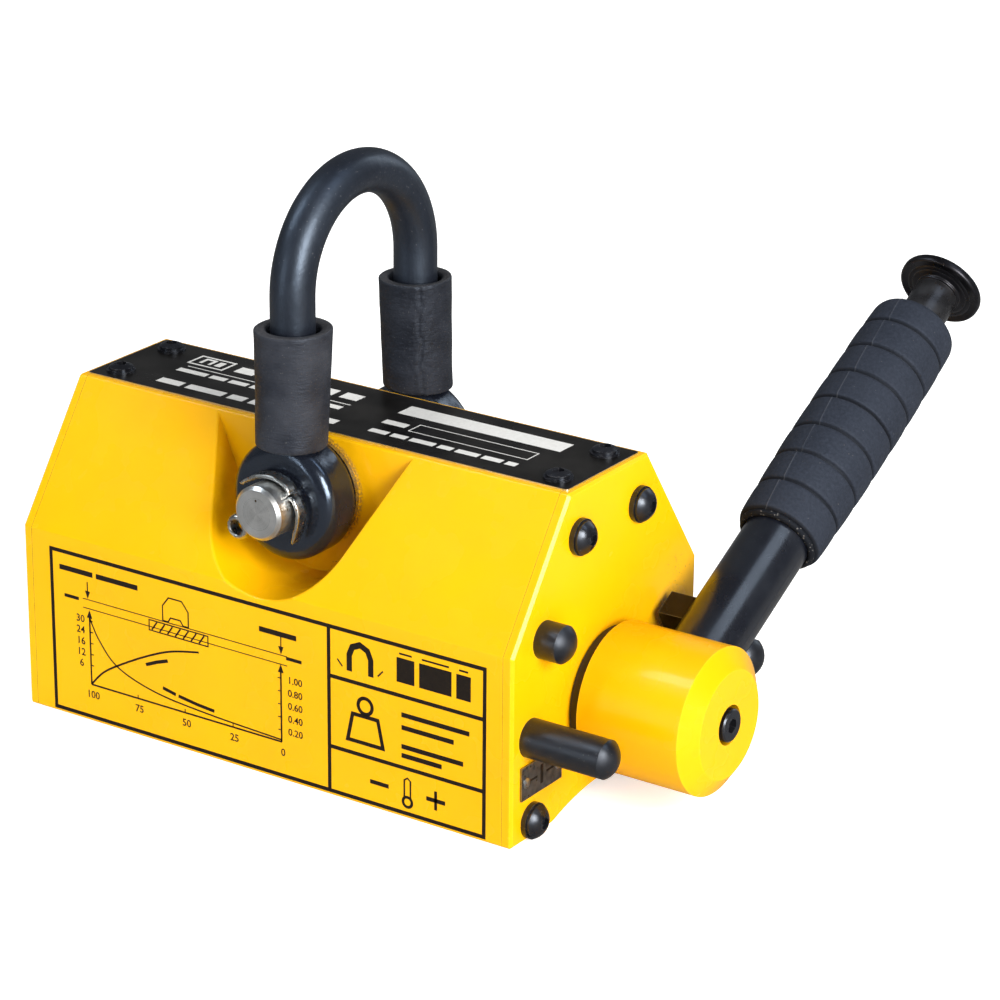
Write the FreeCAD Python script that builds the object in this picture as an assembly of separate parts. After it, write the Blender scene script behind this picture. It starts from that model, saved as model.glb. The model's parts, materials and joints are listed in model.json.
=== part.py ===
import FreeCAD, Part
import math
import os

# Permanent lifting magnet. Millimetres. X runs along the body towards the lever, Y to the rear,
# Z up. The origin is on the plane of the pole faces, under the middle of the body.

# Body
body_length = 216.0
body_width = 118.0
body_height = 120.0
body_top_width = 50.0
body_side_height = 71.0
body_edge_radius = 1.2
end_plate_thickness = 4.0
end_plate_chamfer = 1.0
groove_width = 66.0
groove_depth = 5.8
groove_edge_radius = 5.0
pole_gap_at_face = 12.0
pole_gap_at_top = 20.0

# Clearances
seat_gap = 0.03
running_gap = 0.06
side_gap = 0.4
hole_gap = 0.3

# Rotor
rotor_axis_height = 38.5
rotor_radius = 28.0
rotor_bore_gap = 0.4
rotor_end_gap = 1.0
rotor_magnet_thickness = 16.0
rotor_side_bar_width = 6.0
rotor_magnet_count = 5
magnet_spacing = 0.6
rotor_flange_thickness = 6.0
rotor_screws_from_rim = 8.0
shaft_radius = 10.0
bearing_carrier_thickness = 12.0
bush_wall = 3.0

# Fixed magnets
stator_magnet_height = 14.0
stator_magnet_web = 3.0
stator_magnets_per_side = 2
stator_window_from_pin = 8.0
stator_window_from_end = 6.0

# Hub
hub_radius = 26.8
hub_gap_to_plate = 5.0
hub_length = 45.5
hub_chamfer_length = 5.0
hub_chamfer_depth = 7.1
hub_spacer_radius = 24.0
hub_counterbore_radius = 7.3
hub_counterbore_depth = 6.0
hub_web = 6.2
hub_washer_thickness = 1.2
hub_screw_length = 20.0
key_width = 6.0
key_height = 6.0
key_length = 26.0

# Lever, measured outwards from the rotor axis
lever_from_plate = 25.2
lever_tube_radius = 12.65
lever_tube_bore_radius = 9.2
lever_tube_start = 13.0
lever_tube_end = 194.0
grip_start = 83.7
grip_end = 196.2
grip_radius = 17.5
grip_end_radius = 15.9
grip_lip_radius = 15.0
grip_lip_length = 1.9
grip_groove_count = 7
grip_groove_depth = 0.8
grip_groove_width = 1.8
grip_end_round = 2.0
guide_bush_length = 14.0
spring_seat_thickness = 3.0

# Release button
plunger_radius = 8.5
plunger_start = 31.3
plunger_end = 217.5
plunger_spigot_radius = 5.0
plunger_spigot_length = 3.5
plunger_chamfer = 0.8
button_travel = 6.0
knob_radius = 15.2
knob_thickness = 5.0
knob_rim_thickness = 2.8
latch_key_width = 11.0
latch_key_length = 10.4
latch_key_gap_to_plate = 3.5
latch_key_seat_depth = 2.5
latch_screw_length = 22.0
spring_wire_radius = 0.7
spring_coil_radius = 7.4
spring_turns = 5

# Pins on the drive end plate
stop_pin_radius = 7.0
stop_pin_length = 35.0
stop_pin_circle_radius = 47.7
on_pin_rise = -0.1
off_pin_rise = 3.2
stop_gap = 0.15
pin_depth = 20.0
stop_pin_dome = 3.7
catch_pin_radius = 6.8
catch_pin_dome = 3.6
catch_pin_y = -40.0
catch_pin_rise = 33.6
catch_gap = 0.55

# Shackle
shackle_pin_from_top = 20.7
shackle_pin_radius = 10.0
shackle_pin_overhang = 13.2
shackle_pin_chamfer = 1.2
shackle_bar_radius = 8.0
shackle_eye_radius = 22.0
shackle_eye_thickness = 18.0
shackle_eye_edge_radius = 4.8
shackle_inside_height = 101.7
shackle_running_gap = 0.08
shackle_washer_radius = 19.8
shackle_washer_thickness = 1.8
recess_radius = 31.5
recess_flare_deg = 23.0
recess_wall_offset = 0.5
recess_rim_radius = 1.0
sleeve_radius = 13.0
sleeve_top = 62.5
sleeve_gap = 0.35
sleeve_bore_gap = 0.2
split_pin_radius = 1.9
split_pin_angle_deg = 35.7
split_pin_from_end = 9.0
split_pin_ring_radius = 3.0
split_pin_ring_wire = 1.05
split_pin_ring_distance = 18.2
split_leg_inner_radius = 11.2
split_leg_thickness = 1.4
split_leg_width = 3.6

# Fasteners
screw_radius = 3.0
screw_head_radius = 6.0
screw_head_height = 4.3
screw_head_side = 1.0
screw_socket_flats = 4.0
screw_socket_depth = 2.0
screw_washer_radius = 6.6
screw_washer_thickness = 2.0
end_screw_length = 18.0
upper_screw_y = 19.0
upper_screw_from_top = 17.0
lower_screw_from_side = 12.3
lower_screw_z = 7.0
small_screw_radius = 2.5
small_screw_head_radius = 4.2
small_screw_head_height = 5.0
small_screw_length = 20.0

# Plates fixed to the outside
top_plate_width = 46.0
top_plate_end_margin = 2.5
top_plate_thickness = 0.5
top_plate_corner_radius = 1.5
top_screw_from_end = 11.6
top_screw_y = 14.75
top_screw_radius = 2.5
top_screw_length = 12.0
top_screw_head_radius = 4.5
top_screw_head_height = 2.4
top_screw_flange_radius = 5.3
top_screw_flange_height = 0.8
marker_width = 25.0
marker_height = 12.5
marker_thickness = 0.8
marker_from_side = 5.0
marker_z = 16.5
rivet_radius = 1.2
rivet_head_radius = 1.9
rivet_head_height = 0.8
rivet_length = 6.0
rivet_inset = 2.8

# Derived places
half_length = body_length / 2
core_half = half_length - end_plate_thickness
half_width = body_width / 2
half_top = body_top_width / 2
bore_radius = rotor_radius + rotor_bore_gap
magnet_half_width = rotor_radius - rotor_side_bar_width
rotor_screw_circle_radius = rotor_radius - rotor_screws_from_rim
carrier_inner_x = core_half - bearing_carrier_thickness
rotor_half = carrier_inner_x - rotor_end_gap
segment_half = rotor_half - rotor_flange_thickness
hub_start = half_length + hub_gap_to_plate
hub_end = hub_start + hub_length
shaft_end = hub_end - hub_counterbore_depth - hub_web
lever_x = half_length + lever_from_plate
pin_z = body_height - shackle_pin_from_top
recess_wall_y = half_top + recess_wall_offset
eye_inner_y = recess_wall_y + shackle_washer_thickness + side_gap
leg_y = eye_inner_y + shackle_eye_thickness / 2
shackle_pin_half = eye_inner_y + shackle_eye_thickness + shackle_pin_overhang
crown_z = pin_z + shackle_inside_height - (leg_y - shackle_bar_radius)
sleeve_bottom = shackle_washer_radius + side_gap
bush_outer_radius = shaft_radius + running_gap + bush_wall
catch_distance = math.hypot(catch_pin_y, catch_pin_rise)
latch_key_end = catch_distance - catch_pin_radius - side_gap
latch_key_start = latch_key_end - latch_key_length


def point(x, y, z):
    return FreeCAD.Vector(x, y, z)


AXIS_X = point(1, 0, 0)
AXIS_Y = point(0, 1, 0)
AXIS_Z = point(0, 0, 1)


def lever_rest_angle():
    """Angle of the lever above +Y when it lies on the OFF stop pin."""
    pin_angle = math.degrees(math.atan2(off_pin_rise, stop_pin_circle_radius))
    reach = stop_pin_radius + lever_tube_radius + stop_gap
    distance = math.hypot(off_pin_rise, stop_pin_circle_radius)
    return pin_angle + math.degrees(math.asin(reach / distance))


def to_rest(shape):
    """Turns a shape drawn with the lever straight up to the lever's rest angle."""
    turned = shape.copy()
    turned.rotate(point(0, 0, rotor_axis_height), AXIS_X, lever_rest_angle() - 90)
    return turned


def save(name, solids):
    shape = solids[0] if len(solids) == 1 else Part.makeCompound(solids)
    shape.exportStep(os.path.join("parts", name + ".step"))


def rod(radius, length, start, direction):
    return Part.makeCylinder(radius, length, start, direction)


def ring(inner, outer, length, start, direction):
    return rod(outer, length, start, direction).cut(rod(inner, length, start, direction))


def box(x0, x1, y0, y1, z0, z1):
    return Part.makeBox(x1 - x0, y1 - y0, z1 - z0, point(x0, y0, z0))


def hexagon(flats, depth, start, direction):
    """A hexagonal prism used to cut a key socket."""
    corner = flats / math.sqrt(3)
    corners = [
        point(corner * math.cos(math.radians(60 * i)), corner * math.sin(math.radians(60 * i)), 0)
        for i in range(6)
    ]
    prism = Part.Face(Part.makePolygon(corners + corners[:1])).extrude(AXIS_Z * depth)
    prism.Placement = FreeCAD.Placement(start, FreeCAD.Rotation(AXIS_Z, direction))
    return prism


def turned(outline, start, direction):
    """A solid of revolution: outline lists (distance along the axis, radius) points."""
    points = [point(radius, 0, along) for along, radius in outline]
    face = Part.Face(Part.makePolygon(points + points[:1]))
    solid = face.revolve(point(0, 0, 0), AXIS_Z, 360)
    solid.Placement = FreeCAD.Placement(start, FreeCAD.Rotation(AXIS_Z, direction))
    return solid


def domed_pin(radius, depth, length, dome, base, direction):
    """A round pin from depth below its base to a spherical tip at length above it."""
    shoulder = length - dome
    sphere = (radius**2 + dome**2) / (2 * dome)
    half_turn = math.asin(radius / sphere) / 2
    middle = point(sphere * math.sin(half_turn), 0, length - sphere * (1 - math.cos(half_turn)))
    corners = [point(0, 0, length), point(0, 0, -depth), point(radius, 0, -depth)]
    corners.append(point(radius, 0, shoulder))
    lines = [Part.LineSegment(a, b).toShape() for a, b in zip(corners, corners[1:])]
    cap = Part.Arc(corners[-1], middle, corners[0]).toShape()
    solid = Part.Face(Part.Wire(lines + [cap])).revolve(point(0, 0, 0), AXIS_Z, 360)
    solid.Placement = FreeCAD.Placement(base, FreeCAD.Rotation(AXIS_Z, direction))
    return solid


def domed_screw(seat, outward, radius, length, head_radius, head_height):
    """A dome headed socket screw whose head stands outward from its seat."""
    dome = head_height - screw_head_side
    head = domed_pin(head_radius, 0.0, head_height, dome, seat, outward)
    shank = rod(radius, length, seat, outward * -1)
    socket_start = seat + outward * (head_height - screw_socket_depth)
    socket = hexagon(screw_socket_flats, screw_socket_depth + 1, socket_start, outward)
    return head.fuse(shank).cut(socket).removeSplitter()


# Body blocks


def body_section(x):
    """The outline of the body in the plane at x, as a face."""
    groove = groove_width / 2
    outline = [
        point(x, groove, 0),
        point(x, half_width, 0),
        point(x, half_width, body_side_height),
        point(x, half_top, body_height),
        point(x, -half_top, body_height),
        point(x, -half_width, body_side_height),
        point(x, -half_width, 0),
        point(x, -groove, 0),
    ]
    edges = [Part.LineSegment(a, b).toShape() for a, b in zip(outline, outline[1:])]
    edges.append(Part.Arc(outline[-1], point(x, 0, groove_depth), outline[0]).toShape())
    return Part.Face(Part.Wire(edges))


def at_corner(edge, y, z):
    """True for an edge along X at that distance from the middle plane and that height."""
    first = edge.Vertexes[0].Point
    last = edge.Vertexes[-1].Point
    along = abs(first.y - last.y) < 0.001 and abs(first.z - last.z) < 0.001
    return along and abs(abs(first.y) - y) < 0.001 and abs(first.z - z) < 0.001


def corner_edges(shape, corners):
    return [e for e in shape.Edges if any(at_corner(e, y, z) for y, z in corners)]


def body_block(x0, x1):
    """A length of the body's full section, with its long edges rounded."""
    block = body_section(x0).extrude(AXIS_X * (x1 - x0))
    outer = [(half_width, 0), (half_width, body_side_height), (half_top, body_height)]
    block = block.makeFillet(body_edge_radius, corner_edges(block, outer))
    return block.makeFillet(groove_edge_radius, corner_edges(block, [(groove_width / 2, 0)]))


def recess_cutter(side):
    """The pocket round one shackle eye: a round bottom about the pin and flared sides."""
    flare = math.radians(recess_flare_deg)
    tangent_x = recess_radius * math.cos(flare)
    tangent_z = pin_z - recess_radius * math.sin(flare)
    top_z = body_height + 10
    top_x = tangent_x + (top_z - tangent_z) * math.tan(flare)
    y = side * recess_wall_y
    left = point(-tangent_x, y, tangent_z)
    right = point(tangent_x, y, tangent_z)
    bottom = Part.Arc(left, point(0, y, pin_z - recess_radius), right)
    corners = [right, point(top_x, y, top_z), point(-top_x, y, top_z), left]
    lines = [Part.LineSegment(a, b).toShape() for a, b in zip(corners, corners[1:])]
    return Part.Face(Part.Wire([bottom.toShape()] + lines)).extrude(AXIS_Y * side * body_width)


def recess_rim(shape):
    """The rim edges of both pockets, where they break out of the sloping and upright faces."""
    cutters = [recess_cutter(-1), recess_cutter(1)]
    rim = []
    for edge in shape.Edges:
        middle = edge.valueAt((edge.FirstParameter + edge.LastParameter) / 2)
        outside = abs(middle.y) > recess_wall_y + 0.8
        side_faces = [f for c in cutters for f in c.Faces if abs(f.normalAt(0, 0).y) < 0.5]
        near = min(f.distToShape(Part.Vertex(middle))[0] for f in side_faces)
        if outside and near < 0.001:
            rim.append(edge)
    return rim


def rotor_bore():
    return rod(bore_radius, 2 * core_half, point(-core_half, 0, rotor_axis_height), AXIS_X)


def face_gap_box():
    half_gap = pole_gap_at_face / 2
    return box(-core_half, core_half, -half_gap, half_gap, -1, rotor_axis_height)


def top_gap_box():
    half_gap = pole_gap_at_top / 2
    return box(-core_half, core_half, -half_gap, half_gap, rotor_axis_height, body_height + 1)


def shackle_pin_hole():
    length = 2 * shackle_pin_half
    start = point(0, -shackle_pin_half, pin_z)
    return rod(shackle_pin_radius + seat_gap, length, start, AXIS_Y)


def end_screw_places():
    """(y, z) of the four screws that hold each end plate."""
    upper_z = body_height - upper_screw_from_top
    lower_y = half_width - lower_screw_from_side
    return [(s * upper_screw_y, upper_z) for s in (-1, 1)] + [
        (s * lower_y, lower_screw_z) for s in (-1, 1)
    ]


def end_screw_holes(radius):
    """Holes along X for the end plate screws, at both ends of the body."""
    depth = end_screw_length + 2
    return [
        rod(radius, depth, point(side * (half_length - depth / 2) - depth / 2, y, z), AXIS_X)
        for side in (-1, 1)
        for y, z in end_screw_places()
    ]


def top_screw_places():
    x = half_length - top_screw_from_end
    return [(sx * x, sy * top_screw_y) for sx in (-1, 1) for sy in (-1, 1)]


def pin_places():
    """Name, radius, y and z of the three pins on the drive end."""
    return [
        ("on_stop_pin", stop_pin_radius, -stop_pin_circle_radius, rotor_axis_height + on_pin_rise),
        ("off_stop_pin", stop_pin_radius, stop_pin_circle_radius, rotor_axis_height + off_pin_rise),
        ("catch_pin", catch_pin_radius, catch_pin_y, rotor_axis_height + catch_pin_rise),
    ]


def pin_holes():
    start_x = half_length - pin_depth
    return [
        rod(radius + seat_gap, pin_depth + 1, point(start_x, y, z), AXIS_X)
        for name, radius, y, z in pin_places()
    ]


def marker_centre(side):
    y = side * (half_width - marker_from_side - marker_width / 2)
    return y, marker_z + marker_height / 2


def rivet_places(side):
    y, z = marker_centre(side)
    reach = marker_width / 2 - rivet_inset
    return [(y - reach, z), (y + reach, z)]


def rivet_holes():
    start_x = half_length - rivet_length
    return [
        rod(rivet_radius + seat_gap, rivet_length + 1, point(start_x, y, z), AXIS_X)
        for side in (-1, 1)
        for y, z in rivet_places(side)
    ]


def make_poles():
    block = body_block(-core_half, core_half)
    for side in (-1, 1):
        block = block.cut(recess_cutter(side))
    block = block.makeFillet(recess_rim_radius, recess_rim(block))
    cutters = [rotor_bore(), shackle_pin_hole(), face_gap_box(), top_gap_box()]
    cutters += end_screw_holes(screw_radius + seat_gap) + pin_holes() + rivet_holes()
    hole_depth = top_screw_length + 1
    for x, y in top_screw_places():
        start = point(x, y, body_height - hole_depth)
        cutters.append(rod(top_screw_radius + seat_gap, hole_depth + 1, start, AXIS_Z))
    halves = block.cut(Part.makeCompound(cutters)).Solids
    save("front_pole", [s for s in halves if s.CenterOfMass.y < 0])
    save("rear_pole", [s for s in halves if s.CenterOfMass.y > 0])


def make_bottom_divider():
    block = body_block(-core_half, core_half)
    save("bottom_divider", [block.common(face_gap_box()).cut(rotor_bore())])


def stator_window(side):
    """x range and z range of the slot that holds the fixed magnets on one side of the pin."""
    near = shackle_pin_radius + stator_window_from_pin
    far = core_half - stator_window_from_end
    low = rotor_axis_height + bore_radius + stator_magnet_web
    x0, x1 = (near, far) if side > 0 else (-far, -near)
    return x0, x1, low, low + stator_magnet_height


def make_top_bridge():
    half_gap = pole_gap_at_top / 2
    bridge = body_block(-core_half, core_half).common(top_gap_box())
    bridge = bridge.cut(rotor_bore()).cut(shackle_pin_hole())
    for side in (-1, 1):
        x0, x1, z0, z1 = stator_window(side)
        bridge = bridge.cut(box(x0, x1, -half_gap, half_gap, z0, z1))
    save("top_bridge", [bridge])


def make_stator_magnets():
    half_gap = pole_gap_at_top / 2
    blocks = []
    for side in (-1, 1):
        x0, x1, z0, z1 = stator_window(side)
        pitch = (x1 - x0) / stator_magnets_per_side
        for i in range(stator_magnets_per_side):
            start = x0 + i * pitch + magnet_spacing / 2
            blocks.append(box(start, start + pitch - magnet_spacing, -half_gap, half_gap, z0, z1))
    save("stator_magnets", blocks)


def end_plate(side):
    """One painted cover plate, its outer edge chamfered."""
    outer = side * half_length
    inner = side * core_half
    plate = body_block(min(inner, outer), max(inner, outer))
    rim = [e for e in plate.Edges if all(abs(v.Point.x - outer) < 0.001 for v in e.Vertexes)]
    plate = plate.makeChamfer(end_plate_chamfer, rim)
    return plate.cut(Part.makeCompound(end_screw_holes(screw_radius + hole_gap)))


def make_end_plates():
    shaft_hole = rod(shaft_radius + hole_gap, body_length, point(0, 0, rotor_axis_height), AXIS_X)
    cutters = [shaft_hole] + pin_holes() + rivet_holes()
    save("left_end_plate", [end_plate(-1)])
    save("right_end_plate", [end_plate(1).cut(Part.makeCompound(cutters))])


def make_end_screws():
    screws = []
    washers = []
    for side in (-1, 1):
        outward = AXIS_X * side
        for y, z in end_screw_places():
            face = point(side * half_length, y, z)
            seat = face + outward * screw_washer_thickness
            inner = screw_radius + hole_gap
            washers.append(ring(inner, screw_washer_radius, screw_washer_thickness, face, outward))
            head = (screw_head_radius, screw_head_height)
            screws.append(domed_screw(seat, outward, screw_radius, end_screw_length, *head))
    save("end_plate_screws", screws)
    save("end_plate_washers", washers)


def make_drive_end_pins():
    catch_length = lever_from_plate - lever_tube_radius - catch_gap
    shapes = {
        "on_stop_pin": (stop_pin_length, stop_pin_dome),
        "off_stop_pin": (stop_pin_length, stop_pin_dome),
        "catch_pin": (catch_length, catch_pin_dome),
    }
    for name, radius, y, z in pin_places():
        length, dome = shapes[name]
        save(name, [domed_pin(radius, pin_depth, length, dome, point(half_length, y, z), AXIS_X)])


def make_markers():
    rivets = []
    for side, name in ((-1, "on_marker_plate"), (1, "off_marker_plate")):
        y, z = marker_centre(side)
        half_w = marker_width / 2
        half_h = marker_height / 2
        outer = half_length + marker_thickness
        plate = box(half_length, outer, y - half_w, y + half_w, z - half_h, z + half_h)
        for hole_y, hole_z in rivet_places(side):
            start = point(half_length, hole_y, hole_z)
            plate = plate.cut(rod(rivet_radius + seat_gap, marker_thickness, start, AXIS_X))
            seat = point(outer, hole_y, hole_z)
            head = domed_pin(rivet_head_radius, 0.0, rivet_head_height, 0.5, seat, AXIS_X)
            rivets.append(head.fuse(rod(rivet_radius, rivet_length, seat, AXIS_X * -1)))
        save(name, [plate])
    save("marker_rivets", rivets)


def make_top_plate():
    half_x = half_length - top_plate_end_margin
    half_y = top_plate_width / 2
    plate = box(-half_x, half_x, -half_y, half_y, body_height, body_height + top_plate_thickness)
    corners = [e for e in plate.Edges if abs(e.tangentAt(e.FirstParameter).z) > 0.9]
    plate = plate.makeFillet(top_plate_corner_radius, corners)
    screws = []
    for x, y in top_screw_places():
        hole_start = point(x, y, body_height)
        hole = rod(top_screw_radius + hole_gap, top_plate_thickness, hole_start, AXIS_Z)
        plate = plate.cut(hole)
        seat = point(x, y, body_height + top_plate_thickness)
        flange = rod(top_screw_flange_radius, top_screw_flange_height, seat, AXIS_Z)
        flange = flange.cut(rod(top_screw_radius, top_screw_flange_height, seat, AXIS_Z))
        head_seat = seat + AXIS_Z * top_screw_flange_height
        head = (top_screw_head_radius, top_screw_head_height)
        screw = domed_screw(head_seat, AXIS_Z, top_screw_radius, top_screw_length, *head)
        screws.append(screw.fuse(flange))
    save("top_plate", [plate])
    save("top_plate_screws", screws)


# Rotor


def make_bearings():
    for side, name in ((1, "drive"), (-1, "idle")):
        start = point(side * carrier_inner_x, 0, rotor_axis_height)
        outward = AXIS_X * side
        length = bearing_carrier_thickness
        hole = bush_outer_radius + seat_gap
        outer = bore_radius - seat_gap
        save(name + "_bearing_carrier", [ring(hole, outer, length, start, outward)])
        bore = shaft_radius + running_gap
        save(name + "_bush", [ring(bore, bush_outer_radius, length, start, outward)])


def rotor_screw_places():
    """(y, z from the rotor axis) of the screws that hold each end flange."""
    angles = [60, 120, 240, 300]
    reach = rotor_screw_circle_radius
    return [
        (reach * math.cos(math.radians(a)), reach * math.sin(math.radians(a))) for a in angles
    ]


def rotor_screw(side, y, z, gap):
    """A cap screw whose head is sunk in the flange, or with a gap the hole for it."""
    outward = AXIS_X * side
    face = point(side * rotor_half, y, rotor_axis_height + z)
    head_depth = small_screw_head_height + gap
    head = rod(small_screw_head_radius + gap, head_depth, face, outward * -1)
    shank = rod(small_screw_radius + gap, small_screw_length + gap, face, outward * -1)
    return head.fuse(shank)


def make_rotor_core():
    start = point(-segment_half, 0, rotor_axis_height)
    cylinder = rod(rotor_radius, 2 * segment_half, start, AXIS_X)
    half_t = rotor_magnet_thickness / 2
    low = rotor_axis_height - half_t
    high = rotor_axis_height + half_t
    slot = box(-segment_half, segment_half, -rotor_radius, rotor_radius, low, high)
    holes = [rotor_screw(s, y, z, seat_gap) for s in (-1, 1) for y, z in rotor_screw_places()]
    segments = cylinder.cut(slot).cut(Part.makeCompound(holes)).Solids
    for solid in segments:
        name = "upper" if solid.CenterOfMass.z > rotor_axis_height else "lower"
        save("rotor_" + name + "_segment", [to_rest(solid)])
    core = box(-segment_half, segment_half, -magnet_half_width, magnet_half_width, low, high)
    bars = cylinder.common(slot).cut(core)
    save("rotor_side_bars", [to_rest(s) for s in bars.Solids])
    pitch = 2 * segment_half / rotor_magnet_count
    magnets = []
    for i in range(rotor_magnet_count):
        x = -segment_half + i * pitch + magnet_spacing / 2
        block = box(x, x + pitch - magnet_spacing, -magnet_half_width, magnet_half_width, low, high)
        magnets.append(to_rest(block))
    save("rotor_magnets", magnets)


def flanged_shaft(side, end_x):
    """An end flange of the rotor with its stub shaft out to end_x."""
    outward = AXIS_X * side
    inner = point(side * segment_half, 0, rotor_axis_height)
    shaft = rod(rotor_radius, rotor_flange_thickness, inner, outward)
    stub = rod(shaft_radius, abs(end_x) - segment_half, inner, outward)
    holes = [rotor_screw(side, y, z, seat_gap) for y, z in rotor_screw_places()]
    return shaft.fuse(stub).cut(Part.makeCompound(holes)).removeSplitter()


def hub_key_box(gap):
    """The key, or with a gap the slot for it, on the side away from the lever."""
    half_w = key_width / 2 + gap
    x1 = shaft_end - 2 + gap
    top = rotor_axis_height - shaft_radius + key_height / 2 + gap
    bottom = rotor_axis_height - shaft_radius - key_height / 2 - gap
    return box(x1 - key_length - 2 * gap, x1, -half_w, half_w, bottom, top)


def hub_screw_seat_x():
    return hub_end - hub_counterbore_depth + hub_washer_thickness


def make_shafts():
    seat = point(hub_screw_seat_x(), 0, rotor_axis_height)
    tapped = rod(screw_radius + seat_gap, hub_screw_length + 2, seat, AXIS_X * -1)
    drive = flanged_shaft(1, shaft_end).cut(tapped).cut(hub_key_box(seat_gap))
    idle = flanged_shaft(-1, -(core_half - rotor_end_gap))
    save("drive_shaft", [to_rest(drive)])
    save("idle_shaft", [to_rest(idle)])
    screws = [rotor_screw(s, y, z, 0.0) for s in (-1, 1) for y, z in rotor_screw_places()]
    save("rotor_screws", [to_rest(s) for s in screws])


# Hub and lever, drawn with the lever straight up


def lever_point(distance, x=lever_x, y=0.0):
    return point(x, y, rotor_axis_height + distance)


def make_hub():
    start = point(hub_start, 0, rotor_axis_height)
    outline = [
        (0, 0),
        (0, hub_radius),
        (hub_length - hub_chamfer_length, hub_radius),
        (hub_length, hub_radius - hub_chamfer_depth),
        (hub_length, 0),
    ]
    hub = turned(outline, start, AXIS_X)
    bore_length = shaft_end - hub_start + side_gap
    hub = hub.cut(rod(shaft_radius + seat_gap, bore_length, start, AXIS_X))
    counterbore = point(hub_end - hub_counterbore_depth, 0, rotor_axis_height)
    hub = hub.cut(rod(hub_counterbore_radius, hub_counterbore_depth, counterbore, AXIS_X))
    hub = hub.cut(rod(screw_radius + hole_gap, hub_length, start, AXIS_X))
    hub = hub.cut(hub_key_box(seat_gap))
    socket = rod(lever_tube_radius + seat_gap, hub_radius, lever_point(lever_tube_start), AXIS_Z)
    hub = hub.cut(socket).cut(grub_screw(seat_gap))
    save("hub", [to_rest(hub)])
    save("hub_key", [to_rest(hub_key_box(0.0))])
    inner = shaft_radius + seat_gap
    spacer_start = point(half_length + side_gap, 0, rotor_axis_height)
    spacer_length = hub_gap_to_plate - side_gap
    spacer = ring(inner, hub_spacer_radius, spacer_length, spacer_start, AXIS_X)
    save("hub_spacer", [to_rest(spacer)])


def grub_screw(gap):
    """The screw that locks the lever tube in the hub, or with a gap the hole for it."""
    middle = (lever_tube_start + hub_radius) / 2
    start_x = hub_start if gap else hub_start + side_gap
    end_x = lever_x if gap else lever_x - lever_tube_radius - seat_gap
    return rod(screw_radius + gap, end_x - start_x, lever_point(middle, start_x), AXIS_X)


def make_hub_screw():
    seat = point(hub_screw_seat_x(), 0, rotor_axis_height)
    washer_start = point(hub_end - hub_counterbore_depth, 0, rotor_axis_height)
    inner = screw_radius + hole_gap
    outer = hub_counterbore_radius - hole_gap
    save("hub_washer", [ring(inner, outer, hub_washer_thickness, washer_start, AXIS_X)])
    head = rod(screw_head_radius, 2 * screw_radius, seat, AXIS_X)
    rim = [e for e in head.Edges if abs(e.CenterOfMass.x - seat.x - 2 * screw_radius) < 0.001]
    head = head.makeChamfer(0.5, [e for e in rim if len(e.Vertexes) == 1])
    shank = rod(screw_radius, hub_screw_length, seat, AXIS_X * -1)
    socket_start = seat + AXIS_X * screw_radius
    socket = hexagon(5.0, 2 * screw_radius, socket_start, AXIS_X)
    save("hub_screw", [to_rest(head.fuse(shank).cut(socket))])
    save("lever_grub_screw", [to_rest(grub_screw(0.0))])


def make_lever_tube():
    length = lever_tube_end - lever_tube_start
    start = lever_point(lever_tube_start)
    tube = ring(lever_tube_bore_radius, lever_tube_radius, length, start, AXIS_Z)
    half_slot = latch_key_width / 2 + running_gap
    low = rotor_axis_height + latch_key_start - button_travel - side_gap
    high = rotor_axis_height + latch_key_end + side_gap
    tube = tube.cut(box(lever_x - hub_radius, lever_x, -half_slot, half_slot, low, high))
    save("lever_tube", [to_rest(tube)])
    seat_radius = lever_tube_bore_radius - seat_gap
    save("spring_seat", [to_rest(rod(seat_radius, spring_seat_thickness, start, AXIS_Z))])
    bush_start = lever_point(lever_tube_end - guide_bush_length)
    bore = plunger_radius + running_gap
    bush = ring(bore, seat_radius, guide_bush_length, bush_start, AXIS_Z)
    save("guide_bush", [to_rest(bush)])


def grip_outline_radius(share):
    """Barrel shape of the grip: its radius at a share of its length."""
    swell = grip_radius - grip_end_radius
    return grip_end_radius + swell * math.sin(math.pi * share) ** 0.5


def make_grip():
    length = grip_end - grip_start
    stations = 8
    profile = [
        point(grip_outline_radius(i / stations), 0, i * length / stations)
        for i in range(1, stations)
    ]
    bottom = point(grip_end_radius, 0, 0)
    top = point(grip_end_radius, 0, length)
    curve = Part.BSplineCurve()
    curve.interpolate([bottom] + profile + [top])
    corners = [top, point(0, 0, length), point(0, 0, 0), bottom]
    lines = [Part.LineSegment(a, b).toShape() for a, b in zip(corners, corners[1:])]
    face = Part.Face(Part.Wire([curve.toShape()] + lines))
    body = face.revolve(point(0, 0, 0), AXIS_Z, 360)
    ends = [e for e in body.Edges if isinstance(e.Curve, Part.Circle)]
    body = body.makeFillet(grip_end_round, ends)
    pitch = length / (grip_groove_count + 1)
    for i in range(1, grip_groove_count + 1):
        at = i * pitch
        radius = grip_outline_radius(at / length)
        groove = Part.makeTorus(radius + grip_groove_width / 2 - grip_groove_depth,
                                grip_groove_width / 2, point(0, 0, at), AXIS_Z)
        body = body.cut(groove)
    body.translate(lever_point(grip_start))
    lip = rod(grip_lip_radius, grip_lip_length, lever_point(grip_start - grip_lip_length), AXIS_Z)
    grip = body.fuse(lip)
    tube_hole_start = lever_point(grip_start - grip_lip_length)
    tube_hole_length = lever_tube_end - grip_start + grip_lip_length
    grip = grip.cut(rod(lever_tube_radius + seat_gap, tube_hole_length, tube_hole_start, AXIS_Z))
    grip = grip.cut(rod(plunger_radius + side_gap, length, lever_point(grip_start), AXIS_Z))
    save("grip", [to_rest(grip)])


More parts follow.
